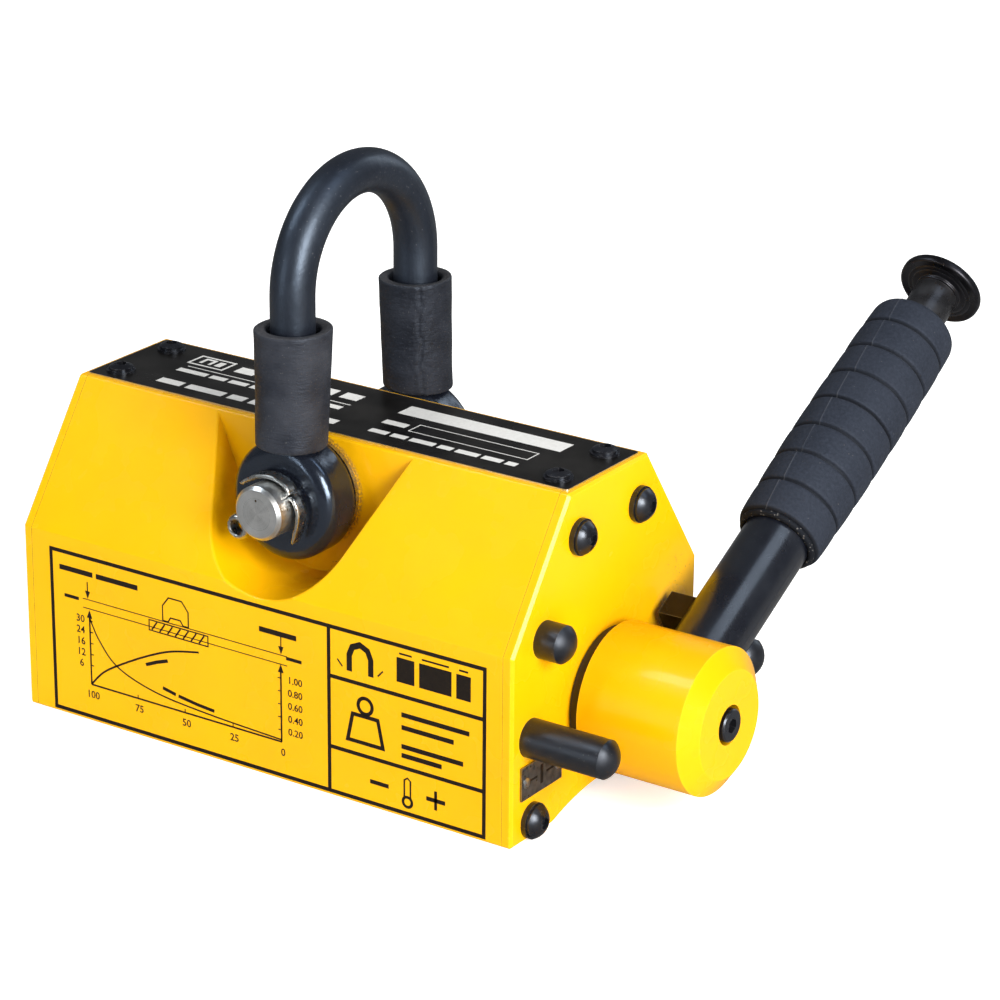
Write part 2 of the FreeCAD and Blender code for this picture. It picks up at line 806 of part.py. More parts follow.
def make_return_spring():
    """Round wire coils, drawn as half rings that each tilt up to meet the next."""
    low = lever_tube_start + spring_seat_thickness + spring_wire_radius
    height = plunger_start - spring_wire_radius - low
    half_rise = height / spring_turns / 4
    radius = math.hypot(spring_coil_radius, half_rise)
    tilt = math.degrees(math.asin(half_rise / radius))
    halves = []
    for i in range(2 * spring_turns):
        half = Part.makeTorus(radius, spring_wire_radius, point(0, 0, 0), AXIS_Z, 0, 360, 180)
        half.rotate(point(0, 0, 0), AXIS_Y, tilt)
        half.rotate(point(0, 0, 0), AXIS_Z, 180 * i)
        half.translate(lever_point(low + half_rise * (2 * i + 1)))
        halves.append(half)
    save("return_spring", [to_rest(halves[0].multiFuse(halves[1:]))])


# Release button, drawn with the lever straight up


def latch_key_box():
    half_w = latch_key_width / 2
    outer = half_length + latch_key_gap_to_plate
    inner = lever_x - plunger_radius + latch_key_seat_depth
    low = rotor_axis_height + latch_key_start
    return box(outer, inner, -half_w, half_w, low, low + latch_key_length)


def latch_screw(gap):
    """The screw through the latch key into the plunger, or with a gap the hole for it."""
    middle = (latch_key_start + latch_key_end) / 2
    start = lever_point(middle, half_length + latch_key_gap_to_plate)
    head = rod(screw_radius + gap, screw_radius, start, AXIS_X)
    return head.fuse(rod(screw_radius / 2 + gap, latch_screw_length, start, AXIS_X))


def make_plunger():
    shoulder = plunger_end - plunger_spigot_length - plunger_start
    outline = [
        (0, 0),
        (0, plunger_radius),
        (shoulder - plunger_chamfer, plunger_radius),
        (shoulder, plunger_radius - plunger_chamfer),
        (shoulder, plunger_spigot_radius),
        (shoulder + plunger_spigot_length, plunger_spigot_radius),
        (shoulder + plunger_spigot_length, 0),
    ]
    plunger = turned(outline, lever_point(plunger_start), AXIS_Z)
    plunger = plunger.cut(latch_key_box()).cut(latch_screw(seat_gap))
    key = latch_key_box().cut(latch_screw(seat_gap))
    save("plunger", [to_rest(plunger)])
    save("latch_key", [to_rest(key)])
    save("latch_screw", [to_rest(latch_screw(0.0))])


def make_knob():
    foot = plunger_end - plunger_spigot_length
    neck_radius = plunger_radius + 1.0
    rim_low = knob_thickness - knob_rim_thickness
    outline = [
        (0, 0),
        (0, plunger_radius),
        (0.8, neck_radius),
        (rim_low - 0.6, knob_radius - 0.7),
        (rim_low, knob_radius),
        (knob_thickness - 0.9, knob_radius),
        (knob_thickness, knob_radius - 1.1),
        (knob_thickness, 0),
    ]
    knob = turned(outline, lever_point(foot), AXIS_Z)
    hole_radius = plunger_spigot_radius + seat_gap
    knob = knob.cut(rod(hole_radius, plunger_spigot_length, lever_point(foot), AXIS_Z))
    save("knob", [to_rest(knob)])


# Shackle


def eye_disc(side, radius, thickness, bore):
    """A round disc on the shackle pin's axis, outwards from the inner face of the eye."""
    start = point(0, side * eye_inner_y, pin_z)
    return ring(bore, radius, thickness, start, AXIS_Y * side)


def make_shackle():
    bore = shackle_pin_radius + shackle_running_gap
    parts = []
    for side in (-1, 1):
        start = point(0, side * eye_inner_y, pin_z)
        disc = rod(shackle_eye_radius, shackle_eye_thickness, start, AXIS_Y * side)
        rims = [e for e in disc.Edges if len(e.Vertexes) == 1]
        parts.append(disc.makeFillet(shackle_eye_edge_radius, rims))
        leg_start = point(0, side * leg_y, pin_z)
        parts.append(rod(shackle_bar_radius, crown_z - pin_z, leg_start, AXIS_Z))
    circle = Part.makeCircle(shackle_bar_radius, point(0, leg_y, crown_z), AXIS_Z)
    crown = Part.Face(Part.Wire(circle)).revolve(point(0, 0, crown_z), AXIS_X, 180)
    shackle = crown.multiFuse(parts).removeSplitter()
    length = 2 * shackle_pin_half
    shackle = shackle.cut(rod(bore, length, point(0, -shackle_pin_half, pin_z), AXIS_Y))
    save("shackle", [shackle])


def make_sleeves():
    sleeve_y = recess_wall_y + sleeve_gap + sleeve_radius
    bore = shackle_bar_radius + (sleeve_y - leg_y) + sleeve_bore_gap
    for side, name in ((-1, "front_sleeve"), (1, "rear_sleeve")):
        start = point(0, side * sleeve_y, pin_z + sleeve_bottom)
        sleeve = ring(bore, sleeve_radius, sleeve_top - sleeve_bottom, start, AXIS_Z)
        room = eye_disc(side, shackle_eye_radius + sleeve_bore_gap, shackle_eye_thickness, 1.0)
        save(name, [sleeve.cut(room)])


def split_pin_hole(side, radius):
    reach = shackle_pin_radius + 2
    angle = math.radians(split_pin_angle_deg)
    along = point(math.cos(angle), 0, math.sin(angle))
    y = side * (shackle_pin_half - split_pin_from_end)
    return rod(radius, 2 * reach, point(0, y, pin_z) - along * reach, along)


def make_shackle_pin():
    length = 2 * shackle_pin_half
    pin = rod(shackle_pin_radius, length, point(0, -shackle_pin_half, pin_z), AXIS_Y)
    pin = pin.makeChamfer(shackle_pin_chamfer, [e for e in pin.Edges if len(e.Vertexes) == 1])
    for side in (-1, 1):
        pin = pin.cut(split_pin_hole(side, split_pin_radius + running_gap))
    save("shackle_pin", [pin])
    inner = shackle_pin_radius + running_gap
    washers = [
        ring(inner, shackle_washer_radius, shackle_washer_thickness,
             point(0, side * recess_wall_y, pin_z), AXIS_Y * side)
        for side in (-1, 1)
    ]
    save("shackle_washers", washers)


def round_pin_axis(radius, angle_deg):
    """A point of the X-Z plane at that radius and angle above +X."""
    angle = math.radians(angle_deg)
    return point(radius * math.cos(angle), -split_leg_width / 2, radius * math.sin(angle))


def split_leg(first_deg, last_deg):
    """One bent leg of a split pin: a strip that follows the shackle pin's surface."""
    inner = split_leg_inner_radius
    outer = inner + split_leg_thickness
    middle_deg = (first_deg + last_deg) / 2
    ends = [round_pin_axis(r, a) for a in (first_deg, last_deg) for r in (inner, outer)]
    edges = [
        Part.Arc(ends[0], round_pin_axis(inner, middle_deg), ends[2]).toShape(),
        Part.LineSegment(ends[2], ends[3]).toShape(),
        Part.Arc(ends[3], round_pin_axis(outer, middle_deg), ends[1]).toShape(),
        Part.LineSegment(ends[1], ends[0]).toShape(),
    ]
    return Part.Face(Part.Wire(edges)).extrude(AXIS_Y * split_leg_width)


def make_split_pins():
    angle = math.radians(split_pin_angle_deg)
    along = point(math.cos(angle), 0, math.sin(angle))
    ring_reach = split_pin_ring_distance - split_pin_ring_radius
    leg_reach = split_leg_inner_radius + split_leg_thickness
    shank = rod(split_pin_radius, ring_reach + leg_reach, along * -ring_reach, along)
    eye = Part.makeTorus(split_pin_ring_radius, split_pin_ring_wire,
                         along * -split_pin_ring_distance, AXIS_Y)
    upper = split_leg(split_pin_angle_deg - 5, split_pin_angle_deg + 112)
    lower = split_leg(split_pin_angle_deg - 86, split_pin_angle_deg + 5)
    pin = shank.multiFuse([eye, upper, lower])
    offset = shackle_pin_half - split_pin_from_end
    for side, name in ((-1, "front_split_pin"), (1, "rear_split_pin")):
        fitted = pin.copy()
        fitted.translate(point(0, side * offset, pin_z))
        save(name, [fitted])


os.makedirs("parts", exist_ok=True)
make_poles()
make_bottom_divider()
make_top_bridge()
make_stator_magnets()
make_end_plates()
make_end_screws()
make_drive_end_pins()
make_markers()
make_top_plate()
make_bearings()
make_rotor_core()
make_shafts()
make_hub()
make_hub_screw()
make_lever_tube()
make_grip()
make_return_spring()
make_plunger()
make_knob()
make_shackle()
make_sleeves()
make_shackle_pin()
make_split_pins()
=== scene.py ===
import json
import math
import random

import bmesh
import bpy
from mathutils import Matrix, Vector, noise


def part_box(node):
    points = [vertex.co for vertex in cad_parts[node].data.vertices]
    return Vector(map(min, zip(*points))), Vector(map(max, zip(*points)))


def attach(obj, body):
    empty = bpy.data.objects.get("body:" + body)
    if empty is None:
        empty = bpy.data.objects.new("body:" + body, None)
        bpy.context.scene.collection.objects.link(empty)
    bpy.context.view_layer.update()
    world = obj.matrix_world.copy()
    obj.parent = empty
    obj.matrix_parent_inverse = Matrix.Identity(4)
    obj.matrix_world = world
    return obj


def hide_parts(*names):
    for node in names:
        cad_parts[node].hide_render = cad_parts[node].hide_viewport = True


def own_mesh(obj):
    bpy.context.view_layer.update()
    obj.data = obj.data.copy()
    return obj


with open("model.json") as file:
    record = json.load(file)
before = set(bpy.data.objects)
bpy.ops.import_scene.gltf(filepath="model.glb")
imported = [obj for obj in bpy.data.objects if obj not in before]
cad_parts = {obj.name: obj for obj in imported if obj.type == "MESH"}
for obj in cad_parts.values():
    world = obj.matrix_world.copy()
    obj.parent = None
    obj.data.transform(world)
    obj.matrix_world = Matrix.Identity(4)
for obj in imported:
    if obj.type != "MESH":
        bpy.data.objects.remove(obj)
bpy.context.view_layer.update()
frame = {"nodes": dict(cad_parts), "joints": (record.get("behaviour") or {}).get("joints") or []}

nodes = frame["nodes"]
joints = {joint["name"]: joint for joint in frame["joints"]}
MM = 0.001

# Camera and studio
# A long lens looks down on the drive end of the lifter. A large soft box stands on the right, narrow
# strips put streaks on the black parts, two hidden lights fill in, and pale paper lies underneath.
CAMERA_AZIMUTH = math.radians(34.0)
CAMERA_ELEVATION = math.radians(21.05)
CAMERA_ROLL = math.radians(0.48)
CAMERA_DISTANCE = 1.31866
CAMERA_TARGET = Vector((0.06248, 0.0, 0.1001))
CAMERA_LENS = 135.1


def make_camera():
    flat = math.cos(CAMERA_ELEVATION)
    back = Vector((
        math.sin(CAMERA_AZIMUTH) * flat,
        -math.cos(CAMERA_AZIMUTH) * flat,
        math.sin(CAMERA_ELEVATION),
    ))
    level = Vector((math.cos(CAMERA_AZIMUTH), math.sin(CAMERA_AZIMUTH), 0.0))
    upright = back.cross(level)
    right = level * math.cos(CAMERA_ROLL) + upright * math.sin(CAMERA_ROLL)
    up = back.cross(right)
    data = bpy.data.cameras.new("camera")
    data.lens = CAMERA_LENS
    data.sensor_width = 36.0
    data.clip_end = 50.0
    camera = bpy.data.objects.new("camera", data)
    bpy.context.scene.collection.objects.link(camera)
    rotation = Matrix((right, up, back)).transposed().to_4x4()
    camera.matrix_world = Matrix.Translation(CAMERA_TARGET + back * CAMERA_DISTANCE) @ rotation
    bpy.context.scene.camera = camera


def soft_box(name, place, aim, width, height, power, colour):
    """A rectangular soft light at place, turned to face aim."""
    data = bpy.data.lights.new(name, "AREA")
    data.shape = "RECTANGLE"
    data.size = width
    data.size_y = height
    data.energy = power
    data.color = colour
    light = bpy.data.objects.new(name, data)
    bpy.context.scene.collection.objects.link(light)
    facing = (Vector(place) - Vector(aim)).to_track_quat("Z", "Y")
    light.matrix_world = Matrix.Translation(place) @ facing.to_matrix().to_4x4()
    return light


def spaced(inputs):
    """The same inputs with a space for each underscore in their labels."""
    return {label.replace("_", " "): value for label, value in inputs.items()}


class Wiring:
    """Short words for joining up the nodes of a finish or of a shared effect."""

    def add(self, kind, inputs, **settings):
        """Adds a shader node; inputs maps an input's name or number to its value or source."""
        made = self.tree.nodes.new("ShaderNode" + kind)
        for key, value in settings.items():
            setattr(made, key, value)
        return self.feed(made, inputs)

    def feed(self, made, inputs):
        """Sets a node's inputs to values or links them to outputs; colours come as three numbers."""
        for key, value in inputs.items():
            socket = made.inputs[key]
            if isinstance(value, bpy.types.NodeSocket):
                self.tree.links.new(value, socket)
            else:
                socket.default_value = (*value, 1.0) if socket.type == "RGBA" else value
        return made

    def calc(self, operation, first, second=0.0, clamp=False):
        return self.add("Math", {0: first, 1: second}, operation=operation, use_clamp=clamp).outputs[0]

    def times(self, first, second, clamp=False):
        return self.calc("MULTIPLY", first, second, clamp)

    def plus(self, first, second, clamp=False):
        return self.calc("ADD", first, second, clamp)

    def minus(self, first, second, clamp=False):
        return self.calc("SUBTRACT", first, second, clamp)

    def most(self, first, second):
        return self.calc("MAXIMUM", first, second)

    def below(self, first, second):
        return self.calc("LESS_THAN", first, second)

    def size(self, value):
        return self.calc("ABSOLUTE", value)

    def remap(self, value, low, high, to_low=0.0, to_high=1.0):
        inputs = {"Value": value, "From Min": low, "From Max": high, "To Min": to_low, "To Max": to_high}
        return self.add("MapRange", inputs).outputs[0]

    def tint(self, share, first, second):
        """The colour that goes from first to second as share goes from 0 to 1."""
        return self.add("Mix", {0: share, 6: first, 7: second}, data_type="RGBA").outputs[2]

    def over(self, shade, colour, mask, strength):
        """shade with colour laid on it by mask, as strongly as strength says."""
        return self.tint(self.times(mask, strength), shade, colour)

    def on_vector(self, operation, first, second=(0.0, 0.0, 0.0)):
        """A sum on two vectors; gives a number where the sum is one."""
        made = self.add("VectorMath", {0: first, 1: second}, operation=operation)
        return made.outputs["Value" if operation in ("DISTANCE", "DOT_PRODUCT", "LENGTH") else 0]

    def vector(self, x, y, z):
        return self.add("CombineXYZ", {0: x, 1: y, 2: z}).outputs[0]

    def parts(self, vector):
        return self.add("SeparateXYZ", {0: vector}).outputs[:3]

    def cloud(self, place, scale, detail):
        return self.add("TexNoise", {"Vector": place, "Scale": scale, "Detail": detail}).outputs[0]

    def own_place(self):
        """Where a surface point lies on its own piece, in metres."""
        return self.add("TexCoord", {}).outputs["Object"]

    def normal(self):
        return self.add("NewGeometry", {}).outputs["Normal"]

    def effect(self, group, **inputs):
        """Places a shared effect and gives its output; an underscore stands for a space."""
        made = self.tree.nodes.new("ShaderNodeGroup")
        made.node_tree = group
        return self.feed(made, spaced(inputs)).outputs[0]

    def bump(self, height, distance, strength=1.0, under=None):
        """A surface normal raised by height times distance, over another bump if one is given."""
        inputs = {"Height": height, "Distance": distance, "Strength": strength}
        if under:
            inputs["Normal"] = under
        return self.add("Bump", inputs).outputs[0]


class Finish(Wiring):
    """A new material; put sets the inputs of its shader, an underscore standing for a space."""

    def __init__(self, name):
        self.material = bpy.data.materials.new(name)
        self.material.use_nodes = True
        self.tree = self.material.node_tree

    def put(self, **inputs):
        self.feed(self.tree.nodes["Principled BSDF"], spaced(inputs))


make_camera()
DAYLIGHT = (1.0, 0.99, 0.97)
COOL = (0.85, 0.93, 1.0)
soft_box("key_box", (1.9, -0.85, 0.95), (0.05, 0.0, 0.08), 0.9, 1.1, 70.0, (1.0, 0.985, 0.96))
soft_box("right_strip", (1.5, -1.2, 0.4), (0.05, 0.0, 0.12), 0.14, 0.9, 5.0, COOL)
soft_box("left_strip", (-0.6, -1.9, 0.45), (0.0, 0.0, 0.12), 0.2, 0.9, 5.5, COOL)
soft_box("rear_box", (0.5, 1.8, 0.9), (0.1, 0.0, 0.14), 0.4, 1.2, 5.0, COOL)
ceiling = soft_box("ceiling", (-0.6, -0.7, 2.0), (0.0, 0.0, 0.1), 1.8, 1.6, 21.5, DAYLIGHT)
rear_fill = soft_box("rear_fill", (-1.3, 1.7, 1.0), (0.0, 0.0, 0.08), 1.2, 1.2, 24.0, DAYLIGHT)
for hidden_light in (ceiling, rear_fill):
    hidden_light.visible_glossy = False
BLUE, PALE_BLUE = (0.66, 0.8, 1.0), (0.8, 0.9, 1.0)
lever_strip = soft_box("lever_strip", (0.95, 0.3, 1.45), (0.13, 0.08, 0.1), 0.22, 0.9, 3.2, BLUE)
pin_strip = soft_box("pin_strip", (-0.75, -0.55, 1.25), (0.12, -0.03, 0.05), 0.3, 0.7, 6.0, PALE_BLUE)
for streak_light in (lever_strip, pin_strip):
    streak_light.visible_diffuse = False

studio_air = bpy.data.worlds.new("studio_air")
studio_air.use_nodes = True
sky = studio_air.node_tree.nodes["Background"].inputs
sky["Color"].default_value = (0.9, 0.95, 1.0, 1.0)
sky["Strength"].default_value = 0.14
bpy.context.scene.world = studio_air
bpy.context.scene.view_settings.view_transform = "Standard"

SWEEP_SIZE = 6.0
sweep_mesh = bpy.data.meshes.new("paper_sweep")
sweep_corners = [(-SWEEP_SIZE, -SWEEP_SIZE, 0), (SWEEP_SIZE, -SWEEP_SIZE, 0)]
sweep_corners += [(SWEEP_SIZE, SWEEP_SIZE, 0), (-SWEEP_SIZE, SWEEP_SIZE, 0)]
sweep_mesh.from_pydata(sweep_corners, [], [(0, 1, 2, 3)])
paper_sweep = bpy.data.objects.new("paper_sweep", sweep_mesh)
bpy.context.scene.collection.objects.link(paper_sweep)
paper = Finish("paper_sweep")
paper.put(Roughness=0.85, Emission_Color=(1.0, 1.0, 1.0))
rays = paper.add("LightPath", {}).outputs
paper_shade = paper.tint(rays["Is Glossy Ray"], (0.93, 0.93, 0.925), (0.24, 0.24, 0.24))
paper.put(Base_Color=paper_shade)
paper.put(Emission_Strength=paper.times(rays["Is Camera Ray"], 0.55))
sweep_mesh.materials.append(paper.material)

# Enamelled body: the two pole blocks and the two end plates
# Steel castings sprayed with a thick glossy yellow enamel over primer, then ground bare on the pole
# faces underneath. The enamel is knocked off in small chips along edges and beside the latch key.
ENAMEL = (0.94, 0.495, 0.001)
ENAMEL_THIN = (0.9, 0.42, 0.001)
PRIMER = (0.03, 0.02, 0.012)
GROUND_STEEL = (0.46, 0.46, 0.47)
SEAM_HALF_WIDTH = 0.09 * MM


class Effect(Wiring):
    """A shader node group with one output, that other finishes share."""

    def __init__(self, name, inputs, output="Mask"):
        self.tree = bpy.data.node_groups.new(name, "ShaderNodeTree")
        face = self.tree.interface
        for label, value in inputs.items():
            kind = "NodeSocketVector" if isinstance(value, tuple) else "NodeSocketFloat"
            face.new_socket(label, in_out="INPUT", socket_type=kind).default_value = value
        face.new_socket(output, in_out="OUTPUT", socket_type="NodeSocketFloat")
        self.given = self.tree.nodes.new("NodeGroupInput").outputs

    def give(self, value):
        self.feed(self.tree.nodes.new("NodeGroupOutput"), {0: value})
        return self.tree


def make_mottle():
    """Uneven tone, fine or broad by its scale, drawn out along an axis by its stretch."""
    inputs = {"Scale": 200.0, "Stretch": (1.0, 1.0, 1.0), "Detail": 4.0, "Contrast": 1.0}
    mix = Effect("mottle", inputs, "Tone")
    place = mix.on_vector("MULTIPLY", mix.own_place(), mix.given["Stretch"])
    grain = mix.cloud(place, mix.given["Scale"], mix.given["Detail"])
    spread = mix.times(mix.minus(grain, 0.5), mix.given["Contrast"])
    return mix.give(mix.plus(spread, 0.5, clamp=True))


def make_worn_edge():
    """A mask of the sharp edges, broken up as handling wears them."""
    mix = Effect("worn_edge", {"Radius": 0.6 * MM, "Reach": 0.12, "Break Scale": 260.0, "Share": 0.5})
    rounded = mix.add("Bevel", {"Radius": mix.given["Radius"]}, samples=4).outputs[0]
    turn = mix.minus(1.0, mix.on_vector("DOT_PRODUCT", rounded, mix.normal()))
    edge = mix.calc("DIVIDE", turn, mix.given["Reach"], clamp=True)
    patch = mix.cloud(mix.own_place(), mix.given["Break Scale"], 5.0)
    low = mix.minus(0.72, mix.times(mix.given["Share"], 0.4))
    return mix.give(mix.times(edge, mix.remap(patch, low, mix.plus(low, 0.05)), clamp=True))


def make_specks():
    """A mask of small separate spots: chips in paint, pits in steel or grains of dust."""
    mix = Effect("specks", {"Scale": 300.0, "Share": 0.1, "Size": 0.3})
    place = mix.own_place()
    ripple = mix.add("TexNoise", {"Vector": place, "Scale": 900.0, "Detail": 3.0}).outputs["Color"]
    ragged = mix.on_vector("ADD", place, mix.on_vector("MULTIPLY", ripple, (0.9 * MM,) * 3))
    cells = mix.add("TexVoronoi", {"Vector": ragged, "Scale": mix.given["Scale"]}).outputs
    pick = mix.add("SeparateColor", {0: cells["Color"]}).outputs[0]
    chosen = mix.below(pick, mix.given["Share"])
    return mix.give(mix.times(mix.below(cells["Distance"], mix.given["Size"]), chosen))


def make_nearness():
    """A mask that is 1 at a centre and falls to 0 at a distance from it."""
    mix = Effect("nearness", {"Centre": (0.0, 0.0, 0.0), "Distance": 0.01})
    apart = mix.on_vector("DISTANCE", mix.own_place(), mix.given["Centre"])
    return mix.give(mix.minus(1.0, mix.calc("DIVIDE", apart, mix.given["Distance"]), clamp=True))


def make_settled_dust():
    """A mask of dust and dried splashes, thickest on what faces up."""
    mix = Effect("settled_dust", {"Scale": 60.0, "Amount": 0.3, "Uprightness": 0.5})
    lying = mix.remap(mix.parts(mix.normal())[2], mix.minus(0.0, mix.given["Uprightness"]), 1.0)
    patchy = mix.remap(mix.cloud(mix.own_place(), mix.given["Scale"], 8.0), 0.35, 0.75)
    return mix.give(mix.times(mix.times(lying, patchy), mix.given["Amount"], clamp=True))


def make_hairlines():
    """A mask of thin straight rub marks that run along one axis of the piece."""
    mix = Effect("hairlines", {"Across": (1500.0, 30.0, 1500.0), "Share": 0.2})
    lines = mix.cloud(mix.on_vector("MULTIPLY", mix.own_place(), mix.given["Across"]), 1.0, 2.0)
    cut = mix.minus(0.78, mix.times(mix.given["Share"], 0.3))
    thin = mix.remap(lines, cut, mix.plus(cut, 0.04))
    return mix.give(mix.times(thin, mix.remap(mix.cloud(mix.own_place(), 55.0, 2.0), 0.45, 0.6)))


mottle = make_mottle()
worn_edge = make_worn_edge()
specks = make_specks()
nearness = make_nearness()
settled_dust = make_settled_dust()
hairlines = make_hairlines()


def dress(material, *names):
    """Gives CAD pieces their finish."""
    for name in names:
        for place in nodes[name].material_slots:
            place.material = material


def enamel(name, chip_spots, dark_spots=()):
    """Glossy yellow enamel. chip_spots lists (centre, distance) of chipped places; the second list gives
    (centre, distance) of places darkened to primer colour in speckled patches.
    """
    mix = Finish(name)
    x, y, z = mix.parts(mix.own_place())
    broad = mix.effect(mottle, Scale=14.0, Detail=3.0, Contrast=1.6)
    peel = mix.effect(mottle, Scale=520.0, Detail=1.0)
    drift = mix.effect(mottle, Scale=60.0, Detail=2.0)
    fine = mix.effect(mottle, Scale=1400.0, Detail=4.0, Contrast=2.2)
    # The edge mask below marks where a paler yellow is laid on: a painted highlight along the enamel's
    # edges.
    pale_edges = mix.effect(worn_edge, Radius=1.1 * MM, Reach=0.2, Share=0.9)
    bare = mix.effect(worn_edge, Radius=0.45 * MM, Reach=0.1, Break_Scale=420.0, Share=0.1)
    for centre, distance in chip_spots:
        near = mix.effect(nearness, Centre=centre, Distance=distance)
        thick = mix.times(near, 0.62)
        flakes = mix.effect(specks, Scale=1500.0, Share=thick, Size=0.36)
        coarse = mix.effect(specks, Scale=640.0, Share=mix.times(thick, 0.3), Size=0.3)
        bare = mix.most(bare, mix.most(flakes, coarse))
    grime = mix.effect(settled_dust, Scale=38.0, Amount=0.12, Uprightness=0.9)
    # Speckled patches darkened to the primer colour round each given place.
    dark_patches = 0.0
    for centre, distance in dark_spots:
        near = mix.effect(nearness, Centre=centre, Distance=distance)
        dense = mix.times(mix.remap(near, 0.0, 0.8), mix.plus(fine, 0.45), clamp=True)
        dark_patches = mix.most(dark_patches, dense)

    core_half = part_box("front_pole")[1].x
    off_seam = mix.size(mix.minus(mix.size(x), core_half))
    seam = mix.below(off_seam, SEAM_HALF_WIDTH)
    flat = mix.vector(x, 0.0, z)
    from_pin = mix.on_vector("DISTANCE", flat, (pin_centre.x, 0.0, pin_centre.z))
    ring_off = mix.size(mix.minus(from_pin, RUB_RADIUS))
    rub = mix.remap(ring_off, 0.4 * MM, 1.5 * MM, 1.0, 0.0)
    on_wall = mix.below(mix.size(y), pocket_wall_y + 0.3 * MM)
    rub = mix.times(mix.times(rub, on_wall), mix.remap(fine, 0.35, 0.6))

    colour = mix.tint(broad, ENAMEL, ENAMEL_THIN)
    # Painted highlight: a paler, richer yellow along the edges.
    colour = mix.over(colour, (1.0, 0.68, 0.03), pale_edges, 0.5)
    colour = mix.tint(grime, colour, (0.5, 0.3, 0.02))
    colour = mix.over(colour, (0.34, 0.16, 0.03), rub, 0.8)
    colour = mix.tint(mix.most(bare, dark_patches), colour, PRIMER)
    colour = mix.tint(seam, colour, (0.2, 0.1, 0.004))
    facing = mix.parts(mix.normal())[2]
    ground = mix.times(mix.below(facing, -0.97), mix.below(z, 0.3 * MM))
    lay = mix.effect(mottle, Scale=30.0, Stretch=(1.0, 60.0, 1.0), Detail=6.0, Contrast=1.5)
    steel = mix.tint(lay, GROUND_STEEL, (0.6, 0.6, 0.6))
    mix.put(Base_Color=mix.tint(ground, colour, steel))
    mix.put(Metallic=ground)
    dull = mix.most(mix.most(bare, dark_patches), grime)
    gloss = mix.remap(drift, 0.3, 0.7, 0.2, 0.3)
    gloss = mix.plus(gloss, mix.times(dull, 0.45), clamp=True)
    mix.put(Roughness=mix.most(gloss, mix.times(ground, 0.36)))
    covered = mix.minus(1.0, mix.most(dull, ground))
    mix.put(Coat_Weight=mix.times(covered, 0.16))
    mix.put(Coat_Roughness=0.08, Specular_IOR_Level=0.16)
    skin = mix.bump(peel, 0.012 * MM)
    skin = mix.bump(drift, 0.18 * MM, under=skin)
    sunk = mix.minus(1.0, mix.most(bare, seam))
    mix.put(Normal=mix.bump(sunk, 0.07 * MM, under=skin))
    return mix.material


pin_low, pin_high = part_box("shackle_pin")
pin_centre = (pin_low + pin_high) / 2
end_face_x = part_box("right_end_plate")[1].x
RUB_RADIUS = (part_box("shackle_washers")[1].z - pin_centre.z) + 0.6 * MM
pocket_wall_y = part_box("shackle_washers")[1].y - 1.8 * MM
latch_low, latch_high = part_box("latch_key")

pole_chips = [
    ((10.0 * MM, -pocket_wall_y, pin_centre.z - 28.0 * MM), 3.2 * MM),
    ((15.0 * MM, -pocket_wall_y, pin_centre.z - 25.0 * MM), 3.0 * MM),
    ((-30.0 * MM, pocket_wall_y, pin_centre.z - 14.0 * MM), 4.0 * MM),
]
dress(enamel("pole_enamel", pole_chips), "front_pole", "rear_pole")
plate_chips = [((end_face_x, latch_high.y + 4.0 * MM, latch_high.z + 5.0 * MM), 9.0 * MM)]
# Places at and below the latch key where the end plate is darkened in speckled patches.
plate_dark_spots = [
    ((end_face_x, latch_high.y - 1.0 * MM, latch_low.z + 1.0 * MM), 15.0 * MM),
    ((end_face_x, latch_high.y + 6.0 * MM, latch_low.z - 4.0 * MM), 12.0 * MM),
]
dress(enamel("end_plate_enamel", plate_chips, plate_dark_spots), "left_end_plate", "right_end_plate")

# Between the poles: brass divider, aluminium bridge and the fixed magnets
# A brass bar closes the gap at the pole faces and an aluminium bar fills it above the rotor. Nickel
# plated block magnets sit in slots of the aluminium bar.


def bright_metal(name, colour, dull, lay, rough_low, rough_high):
    """Machined or plated metal; lay stretches its tool marks along an axis."""
    mix = Finish(name)
    marks = mix.effect(mottle, Scale=40.0, Stretch=lay, Detail=6.0, Contrast=1.7)
    cloud = mix.effect(mottle, Scale=45.0, Detail=5.0, Contrast=1.4)
    pits = mix.effect(specks, Scale=420.0, Share=0.05, Size=0.22)
    worn = mix.effect(worn_edge, Radius=0.35 * MM, Reach=0.12, Share=1.0)
    shade = mix.tint(cloud, colour, dull)
    shade = mix.over(shade, (0.85, 0.85, 0.84), marks, 0.3)
    shade = mix.over(shade, (0.8, 0.8, 0.79), worn, 0.4)
    mix.put(Base_Color=mix.tint(pits, shade, (0.12, 0.09, 0.06)))
    mix.put(Metallic=1.0)
    rough = mix.remap(mix.times(mix.plus(marks, cloud), 0.5), 0.3, 0.7, rough_low, rough_high)
    mix.put(Roughness=mix.plus(rough, mix.times(pits, 0.3)))
    mix.put(Normal=mix.bump(marks, 0.01 * MM, 0.8))
    return mix.material


EVEN = (12.0, 12.0, 12.0)
ALONG_X = (0.5, 30.0, 30.0)
divider_brass = bright_metal("divider_brass", (0.72, 0.56, 0.3), (0.42, 0.29, 0.13), ALONG_X, 0.3, 0.5)
dress(divider_brass, "bottom_divider")
bar_aluminium = bright_metal("bar_aluminium", (0.74, 0.75, 0.76), (0.5, 0.51, 0.52), ALONG_X, 0.28, 0.45)
dress(bar_aluminium, "top_bridge")
magnet_plating = bright_metal("magnet_plating", (0.72, 0.7, 0.66), (0.56, 0.54, 0.5), EVEN, 0.14, 0.24)
dress(magnet_plating, "stator_magnets", "rotor_magnets")

